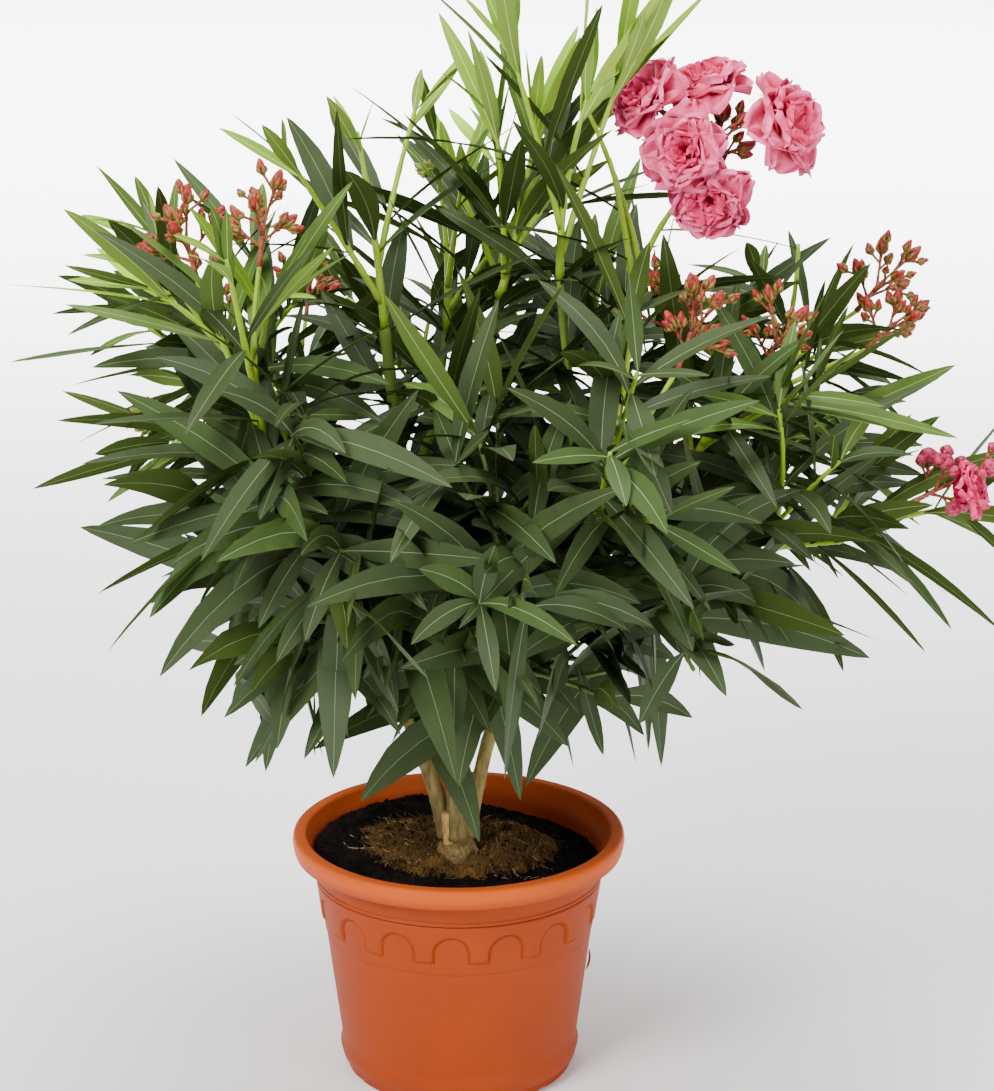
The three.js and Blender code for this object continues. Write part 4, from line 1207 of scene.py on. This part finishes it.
def tint_of(leaf):
    """The tint that a leaf is dealt: its step from young to old grows with its age, its
    mass's droop and its own luck, and is higher on side shoots."""
    ripeness = (leaf["age"] * 4.8 + 1.9 * masses[leaf["mass"]].droop + 1.2 * (leaf["luck"] - 0.5)
                + 0.45 * leaf["side"] - 0.3)
    from_young = list(reversed(tints))
    return from_young[int(np.clip(ripeness / 0.82, 0, 4))]


for tint, (shaded, lit, rib_colour, under_colour) in tints.items():
    blade = leaf_cuticle(tint[:-1] + "_top", shaded, lit, 0.6, 0.3)
    midrib = leaf_cuticle(tint[:-1] + "_midrib", rib_colour, rib_colour, 0.6, 0.15)
    underside = leaf_cuticle(tint[:-1] + "_underside", under_colour, under_colour, 0.85, 0.0)
    dealt = [leaf for leaf in leaves if tint_of(leaf) == tint]
    points, faces, which, uv = leaf_blades(dealt)
    nodes = sorted({foliage_nodes[leaf["mass"]] for leaf in dealt})
    make_piece(tint, points, faces, [blade, midrib, underside], "foliage", nodes, which, crease=55, uv=uv)

# ---- Buds ----
# Branched clusters on the flowering tips: slim twisted buds, coral red, on reddish
# stalks with small pointed bracts; green and hard where they are a month behind.

bud_length = 15.0
bud_radius = 4.3
bud_swelling = {"buds": 0.96, "ripe": 1.9, "crimson": 1.1, "green": 0.85}
bud_rows = 6
bud_sides = 8
branches = 5
lesser_buds = 3
spiral_turn = 137.5
# A cluster's head: its height over the shoot's tip, a branch's length and a bud's size.
coloured_head = (26.0, 20, 0.8)
green_head = (14.0, 9, 0.62)
bracts_on_bud = 5
bract_radii = (1.0, 1.6, 0.3)
bract_seed = 71
bud_stalk_radius = 1.15
stalk_rows = 5
stalk_sides = 7


def bud_cluster(number, code, curve, kind):
    """The buds and stalks of one cluster. Five branches leave the head in a spiral of
    137.5 degrees, opening wider the lower they leave; each ends in a leading bud, and
    three lesser ones fork from its outer half, on stalks of their own."""
    rise, branch_length, full_size = green_head if kind == "green" else coloured_head
    tip, heading = along_curve(curve, 1.0)
    axis = unit(heading + up * 0.6)
    head = tip + axis * rise
    buds, stalks = [], [(tip - heading * 4, head, bud_stalk_radius * 1.9)]
    for i in range(branches):
        down = i / branches
        root = head + axis * (-2 - down * rise * 0.7)
        open_angle = 8 + 52 * math.sqrt(down) + 10 * chance(number, code, 30 + i)
        turn = i * spiral_turn + 360 * chance(number, 9)
        towards = tilted(axis, math.radians(open_angle), math.radians(turn))
        neck = branch_length * (0.8 + 0.8 * chance(number, code, 40 + i))
        size = full_size + 0.35 * chance(number, code, 50 + i)
        end = root + towards * neck
        stalks.append((root, end, bud_stalk_radius * 1.15))
        buds.append({"foot": end, "towards": towards, "size": size, "kind": kind})
        for m in range(lesser_buds):
            fork = root + towards * neck * (0.55 + 0.18 * m)
            lean = math.radians(34 + 16 * chance(number, code, 70 + i, m))
            lesser = tilted(towards, lean, 2.1 * m + 6.3 * chance(number, code, 80 + i))
            end = fork + lesser * (neck * (0.3 + 0.25 * chance(number, code, 90 + i, m)))
            smaller = size * (0.5 + 0.3 * chance(number, i, m, 5))
            stalks.append((fork, end, bud_stalk_radius))
            buds.append({"foot": end, "towards": unit(lesser + towards * 0.6), "size": smaller, "kind": kind})
    return buds, stalks


def bud_bodies(buds):
    """Slim buds: radius follows sin(pi * t ** 0.85) ** 0.62 up to a blunt point, with four
    shallow folds that twist a quarter of a turn from foot to tip."""
    column = columns_of(buds)
    foot, towards, size = column["foot"], column["towards"], column["size"]
    swell = np.array([bud_swelling[bud["kind"]] for bud in buds])
    t = np.linspace(0.02, 0.96, bud_rows)
    centres = foot[:, None] + towards[:, None] * (bud_length * size[:, None, None] * t[None, :, None])
    angle = np.linspace(0, 2 * math.pi, bud_sides, endpoint=False)
    folds = 1 + 0.1 * np.cos(4 * (angle[None] - 1.6 * t[:, None]))
    spindle = np.sin(math.pi * t ** 0.85) ** 0.62
    radius = (bud_radius * size * swell)[:, None, None] * spindle[None, :, None] * folds
    rings = rings_along(centres, np.repeat(towards[:, None], bud_rows, 1), radius, bud_sides)
    return skin(rings, foot, foot + towards * (bud_length * size)[:, None])


def bracts(buds):
    """Five small pointed bracts hug the foot of every bud: each a four-sided sliver that
    leaves the stalk, bows out over the bud and ends in a point."""
    rng = np.random.default_rng(bract_seed)
    paths = []
    for bud in buds:
        foot, towards, size = bud["foot"], bud["towards"], bud["size"]
        for lobe in range(bracts_on_bud):
            turn = lobe * 2 * math.pi / bracts_on_bud + rng.uniform(0, 0.4)
            outward = tilted(towards, math.radians(90), turn)
            root = foot - towards * 1.2
            middle = foot + towards * 3.2 * size + outward * bud_radius * size * 0.98
            reach = 6.5 + 4 * rng.uniform()
            paths.append((root, middle, foot + towards * reach * size + outward * bud_radius * size * 1.06))
    centres = np.array(paths)
    radius = np.tile(np.array(bract_radii), (len(centres), 1))
    return skin(rings_along(centres, headings_of(centres), radius, 4), centres[:, 0], centres[:, -1])


def stalk_tubes(stalks):
    """Straight stalks that thicken a little at both ends."""
    start, end = (np.array([stalk[i] for stalk in stalks]) for i in (0, 1))
    t = np.linspace(0, 1, stalk_rows)
    centres = start[:, None] + (end - start)[:, None] * t[None, :, None]
    radius = np.array([stalk[2] for stalk in stalks])[:, None] * (0.8 + 0.4 * (2 * t - 1) ** 2)[None]
    headings = np.repeat(unit(end - start)[:, None], stalk_rows, 1)
    return skin(rings_along(centres, headings, radius, stalk_sides), start, end)


def bud_skin(name, shaded, lit):
    """The satin skin of a bud, its stalk or its bracts, dappled from a darker to a paler
    tone in spots 2.5 mm across."""
    material, tree = new_material(name)
    place = add_node(tree, "ShaderNodeTexCoord")
    dapples = add_node(tree, "ShaderNodeTexNoise", {
        "Vector": place.outputs["Object"], "Scale": 1 / (2.5 * MM), "Detail": 2})
    spread = add_node(tree, "ShaderNodeMapRange", {
        "Value": dapples.outputs["Fac"], "From Min": 0.35, "From Max": 0.65})
    colour = add_node(tree, "ShaderNodeMix", {
        0: spread.outputs["Result"], 6: linear(shaded), 7: linear(lit)}, data_type="RGBA")
    shader = add_node(tree, "ShaderNodeBsdfPrincipled", {
        "Base Color": colour.outputs[2], "Roughness": 0.5, "IOR": 1.42})
    add_node(tree, "ShaderNodeOutputMaterial", {"Surface": shader.outputs["BSDF"]})
    return material


all_buds, all_stalks = [], []
for number, shoots in enumerate(grown):
    for shoot in shoots:
        if shoot["bloom"]:
            kind = "crimson" if shoot["bloom"] == "open" else shoot["bloom"]
            buds, stalks = bud_cluster(number, shoot["code"], shoot["curve"], kind)
            all_buds += buds
            all_stalks += [(*stalk, kind == "green") for stalk in stalks]

flowering_nodes = [node for node, mass in zip(foliage_nodes, masses) if mass.bloom]


def make_flowering_piece(name, body, shaded, lit):
    """A piece of the flowering tips, in a satin skin named after it."""
    satin = bud_skin(name[:-1] + "_skin", shaded, lit)
    make_piece(name, *body, [satin], "flowering_foliage", flowering_nodes)


for kind, name, shaded, lit in (
        ("buds", "coral_buds", "#6a120a", "#ae3424"), ("ripe", "ripe_buds", "#7c0a28", "#cc3a66"),
        ("crimson", "crimson_buds", "#6d1420", "#9c2a3a"), ("green", "green_buds", "#5c661e", "#8e8e3c")):
    bodies = bud_bodies([bud for bud in all_buds if bud["kind"] == kind])
    make_flowering_piece(name, bodies, shaded, lit)
for green, name, shaded, lit in (
        (False, "red_stalks", "#6e2c1a", "#9a5230"), (True, "green_stalks", "#66792f", "#879a45")):
    bodies = stalk_tubes([stalk for stalk in all_stalks if stalk[3] == green])
    make_flowering_piece(name, bodies, shaded, lit)
for green, name, shaded, lit in (
        (False, "olive_bracts", "#704e22", "#8a7c34"), (True, "green_bracts", "#5f7a30", "#86a045")):
    bodies = bracts([bud for bud in all_buds if (bud["kind"] == "green") == green])
    make_flowering_piece(name, bodies, shaded, lit)

# ---- Flowers ----
# Five double flowers crowd one truss: six rings of ruffled pink petals each, pale at
# their edges and deep pink in the throat, on dark red stalks.

flower_depth = 24.0
# Places round the truss's head: bearing in degrees, reach, rise above the head, and size.
open_flowers = [
    (-178, 60, 40, 1.0), (150, 16, 50, 1.0), (-8, 41, 20, 1.2),
    (-128, 54, 8, 1.0), (-112, 40, -28, 1.0)]
# Each ring of petals: how many, length, width, how far it opens in degrees, and its tone.
petal_rings = [
    (5, 36, 37, 86, "pale"), (5, 34, 34, 64, "pale"), (6, 31, 29, 42, "pale"),
    (5, 27, 24, 24, "pink"), (5, 23, 19, 10, "pink"), (3, 14, 13, 4, "deep")]
petal_stations = np.array([0.06, 0.2, 0.36, 0.52, 0.68, 0.82, 0.93, 1.0])
petal_columns = 17
petal_thickness = 0.5
ruffle_width = 28
half_open_size = 0.74
half_opening = 0.7


def petals_of(base, axis, flower, size):
    """One flower's petals, ring by ring: where each stands and points, its length and
    width, how far it opens in degrees, its tone, and where its ruffles start."""
    found = []
    for ring, (count, length, width, opening, tone) in enumerate(petal_rings):
        for i in range(count):
            keys = (flower, ring, i)
            turn = 2 * math.pi * (i + 0.5 * (ring % 2) + 0.3 * (chance(*keys, 1) - 0.5)) / count
            found.append({
                "base": base,
                "axis": axis,
                "outward": tilted(axis, math.pi / 2, turn),
                "length": size * length * (0.88 + 0.24 * chance(*keys, 2)),
                "width": size * width * (0.9 + 0.25 * chance(*keys, 3)),
                "opening": opening + 16 * (chance(*keys, 4) - 0.5),
                "tone": tone,
                "start": 6.3 * chance(*keys, 5),
            })
    return found


def petal_bodies(petals):
    """Ruffled petals. Along a petal its heading turns from the flower's axis to its opening
    angle and a little past it; half width = (0.3 + 0.7 * sin(pi * (0.1 + 0.66 * t))) with a
    rounded end. Across it, s from -1 to 1, it is cupped by s * s and ruffled by
    sin(2.4 pi s + start) and sin(4.6 pi s + 2 start), both growing towards the brim."""
    column = columns_of(petals)
    base, axis, outward = column["base"], column["axis"], column["outward"]
    length, width = column["length"][:, None], column["width"][:, None]
    opening, start = column["opening"][:, None], column["start"][:, None]
    t = petal_stations[None]
    angle = np.radians(opening) * np.clip(t * 1.5, 0, 1) ** 0.8 + 0.5 * t ** 3
    step = np.diff(np.concatenate([[0], petal_stations]))[None] * length
    forward = np.cumsum(step * np.cos(angle), 1)[..., None]
    away = np.cumsum(step * np.sin(angle), 1)[..., None] + 1.2
    centres = base[:, None] + axis[:, None] * forward + outward[:, None] * away
    normal = axis[:, None] * np.sin(angle)[..., None] - outward[:, None] * np.cos(angle)[..., None]
    along = axis[:, None] * np.cos(angle)[..., None] + outward[:, None] * np.sin(angle)[..., None]
    across = np.cross(along, normal)
    brim = np.sqrt(np.clip(1 - ((t - 0.62) / 0.42).clip(0) ** 2, 0.12, 1))
    half = width / 2 * (0.3 + 0.7 * np.sin(math.pi * (0.1 + 0.66 * t))) * brim
    over = np.linspace(1, -1, petal_columns)
    s = np.concatenate([over, -over[1:-1]])[None, None]
    below = np.concatenate([np.zeros(petal_columns), np.ones(petal_columns - 2)])[None, None]
    begin = start[..., None]
    growing = (t ** 2.2)[..., None]
    ruffle = 2.5 * np.sin(2.4 * math.pi * s + begin) + 1.2 * np.sin(4.6 * math.pi * s + 2 * begin)
    ruffled = growing * ruffle * (width / ruffle_width)[..., None]
    lift = 0.32 * half[..., None] * s * s + ruffled - below * petal_thickness
    slide = growing * 2.2 * np.sin(4 * math.pi * s + 1.7 * begin)
    rings = (centres[:, :, None] + across[:, :, None] * (half[..., None] * s)[..., None]
             + normal[:, :, None] * lift[..., None] + along[:, :, None] * slide[..., None])
    rings = rings[:, :, ::-1]
    points, faces = skin(rings, rings[:, 0].mean(1), rings[:, -1].mean(1))
    station = np.concatenate([[0], np.repeat(petal_stations, rings.shape[2]), [1]])
    uv = np.stack([0.5 + 0 * station, station], 1)
    return points, faces, np.tile(uv, (len(petals), 1))


def petal_skin(name, shaded, lit):
    """A petal's skin: velvety and soft, deep pink at its foot and paler towards its brim,
    clouded in patches 7 mm across."""
    material, tree = new_material(name)
    place = add_node(tree, "ShaderNodeTexCoord")
    clouds = add_node(tree, "ShaderNodeTexNoise", {
        "Vector": place.outputs["Object"], "Scale": 1 / (7 * MM), "Detail": 3})
    split = add_node(tree, "ShaderNodeSeparateXYZ", {"Vector": place.outputs["UV"]})
    paling = add_node(tree, "ShaderNodeMath", {
        0: clouds.outputs["Fac"], 1: 1.1, 2: split.outputs["Y"]}, operation="MULTIPLY_ADD")
    spread = add_node(tree, "ShaderNodeMapRange", {
        "Value": paling.outputs[0], "From Min": 0.8, "From Max": 1.75})
    colour = add_node(tree, "ShaderNodeMix", {
        0: spread.outputs["Result"], 6: linear(shaded), 7: linear(lit)}, data_type="RGBA")
    shader = add_node(tree, "ShaderNodeBsdfPrincipled", {
        "Base Color": colour.outputs[2], "Roughness": 0.62, "IOR": 1.4, "Specular IOR Level": 0.25})
    add_node(tree, "ShaderNodeOutputMaterial", {"Surface": shader.outputs["BSDF"]})
    return material


truss_head = truss_tip + np.array([17, 0, 15])
all_petals, truss_stalks = [], [(truss_tip - up * 4, truss_head + up * 3, 2.0)]
for flower, (*place, size) in enumerate(open_flowers):
    centre = truss_head + at(place)
    axis = unit(unit(centre - truss_head) + np.array([0, -0.5, 0.1]))
    base = centre - axis * flower_depth * 0.55
    all_petals += petals_of(base, axis, flower, size)
    truss_stalks.append((truss_head, base - axis * 9, 1.3))
    truss_stalks.append((base - axis * 10, base + axis * 4, 2.4))

# One flower of the outermost cluster is half open, its petals still cupped.
deeper = {"pale": "pink", "pink": "deep", "deep": "deep"}
ripe_number = next(number for number, mass in enumerate(masses) if mass.bloom == "ripe")
ripe_tip, ripe_heading = along_curve(grown[ripe_number][0]["curve"], 1.0)
ripe_axis = unit(ripe_heading + np.array([0.2, -0.5, 0.4]))
for petal in petals_of(ripe_tip + ripe_axis * 30, ripe_axis, len(open_flowers), half_open_size):
    petal["opening"] *= half_opening
    petal["tone"] = deeper[petal["tone"]]
    all_petals.append(petal)

bloom_nodes = [foliage_nodes[truss_number], foliage_nodes[ripe_number]]
for tone, name, shaded, lit in (
        ("pale", "pale_petals", "#c4104a", "#ff7aa8"), ("pink", "pink_petals", "#ac083a", "#f84e86"),
        ("deep", "deep_petals", "#900430", "#cc225a")):
    points, faces, uv = petal_bodies([petal for petal in all_petals if petal["tone"] == tone])
    velvet = petal_skin(name[:-1] + "_skin", shaded, lit)
    make_piece(name, points, faces, [velvet], "flowering_foliage", bloom_nodes, crease=60, uv=uv)
points, faces = stalk_tubes(truss_stalks)
dark_skin = bud_skin("truss_stalk_skin", "#4a1c1a", "#74402c")
make_piece("truss_stalks", points, faces, [dark_skin], "flowering_foliage", bloom_nodes)

# ---- Floor, light and camera ----
# A plain white studio floor under broad soft lights: a large one high on the left in
# front, a weaker one on the right, one overhead and one on the floor behind, which
# whitens the background, all in an even pale surround.


def plain_floor():
    """A matt white sheet of studio paper, 40 m across, with a faint tooth."""
    material, tree = new_material("studio_paper")
    place = add_node(tree, "ShaderNodeTexCoord")
    tooth = add_node(tree, "ShaderNodeTexNoise", {"Vector": place.outputs["Object"], "Scale": 1 / (2 * MM)})
    relief = add_node(tree, "ShaderNodeBump", {
        "Height": tooth.outputs["Fac"], "Strength": 0.1, "Distance": 0.1 * MM})
    shader = add_node(tree, "ShaderNodeBsdfPrincipled", {
        "Base Color": linear("#f7f7f6"), "Roughness": 0.9, "Normal": relief.outputs["Normal"]})
    add_node(tree, "ShaderNodeOutputMaterial", {"Surface": shader.outputs["BSDF"]})
    mesh = bpy.data.meshes.new("floor")
    mesh.from_pydata([(-20, -20, 0), (20, -20, 0), (20, 20, 0), (-20, 20, 0)], [], [(0, 1, 2, 3)])
    mesh.materials.append(material)
    floor = bpy.data.objects.new("floor", mesh)
    bpy.context.scene.collection.objects.link(floor)


def soft_light(name, place, aim, size, power, spread=180):
    """A square soft box of a size and place in metres and a power in watts, turned to a
    point, its grid open by spread in degrees."""
    lamp = bpy.data.lights.new(name, "AREA")
    lamp.size = size
    lamp.energy = power
    lamp.spread = math.radians(spread)
    light = bpy.data.objects.new(name, lamp)
    direction = np.array(aim) - np.array(place)
    light.location = place
    light.rotation_euler = (
        math.atan2(math.hypot(direction[0], direction[1]), -direction[2]), 0,
        math.atan2(direction[0], -direction[1]) + math.pi)
    bpy.context.scene.collection.objects.link(light)


plain_floor()
crown_middle = (0.05, 0.0, 0.5)
soft_light("key", (-1.6, -2.0, 2.4), crown_middle, 1.4, 145)
soft_light("fill", (1.8, -2.0, 0.9), (0.0, 0.0, 0.35), 1.8, 46)
soft_light("overhead", (0.2, 0.2, 2.8), crown_middle, 1.4, 80)
soft_light("background", (0.0, 7.5, 4.5), (0.0, 7.5, 0.0), 10.0, 2700, 80)

world = bpy.data.worlds.new("pale_surround")
world.use_nodes = True
world.node_tree.nodes["Background"].inputs["Color"].default_value = linear("#ffffff")
world.node_tree.nodes["Background"].inputs["Strength"].default_value = 0.5
bpy.context.scene.world = world

camera_pitch = 15.6
focal_pixels = 2728
frame_height = 1091
camera_data = bpy.data.cameras.new("camera")
camera_data.sensor_width = 36
camera_data.lens = focal_pixels * camera_data.sensor_width / frame_height
camera = bpy.data.objects.new("camera", camera_data)
camera.location = (0.030, -2.000, 0.983)
camera.rotation_euler = (math.radians(90 - camera_pitch), 0, 0)
bpy.context.scene.collection.objects.link(camera)
bpy.context.scene.camera = camera

bpy.context.view_layer.update()
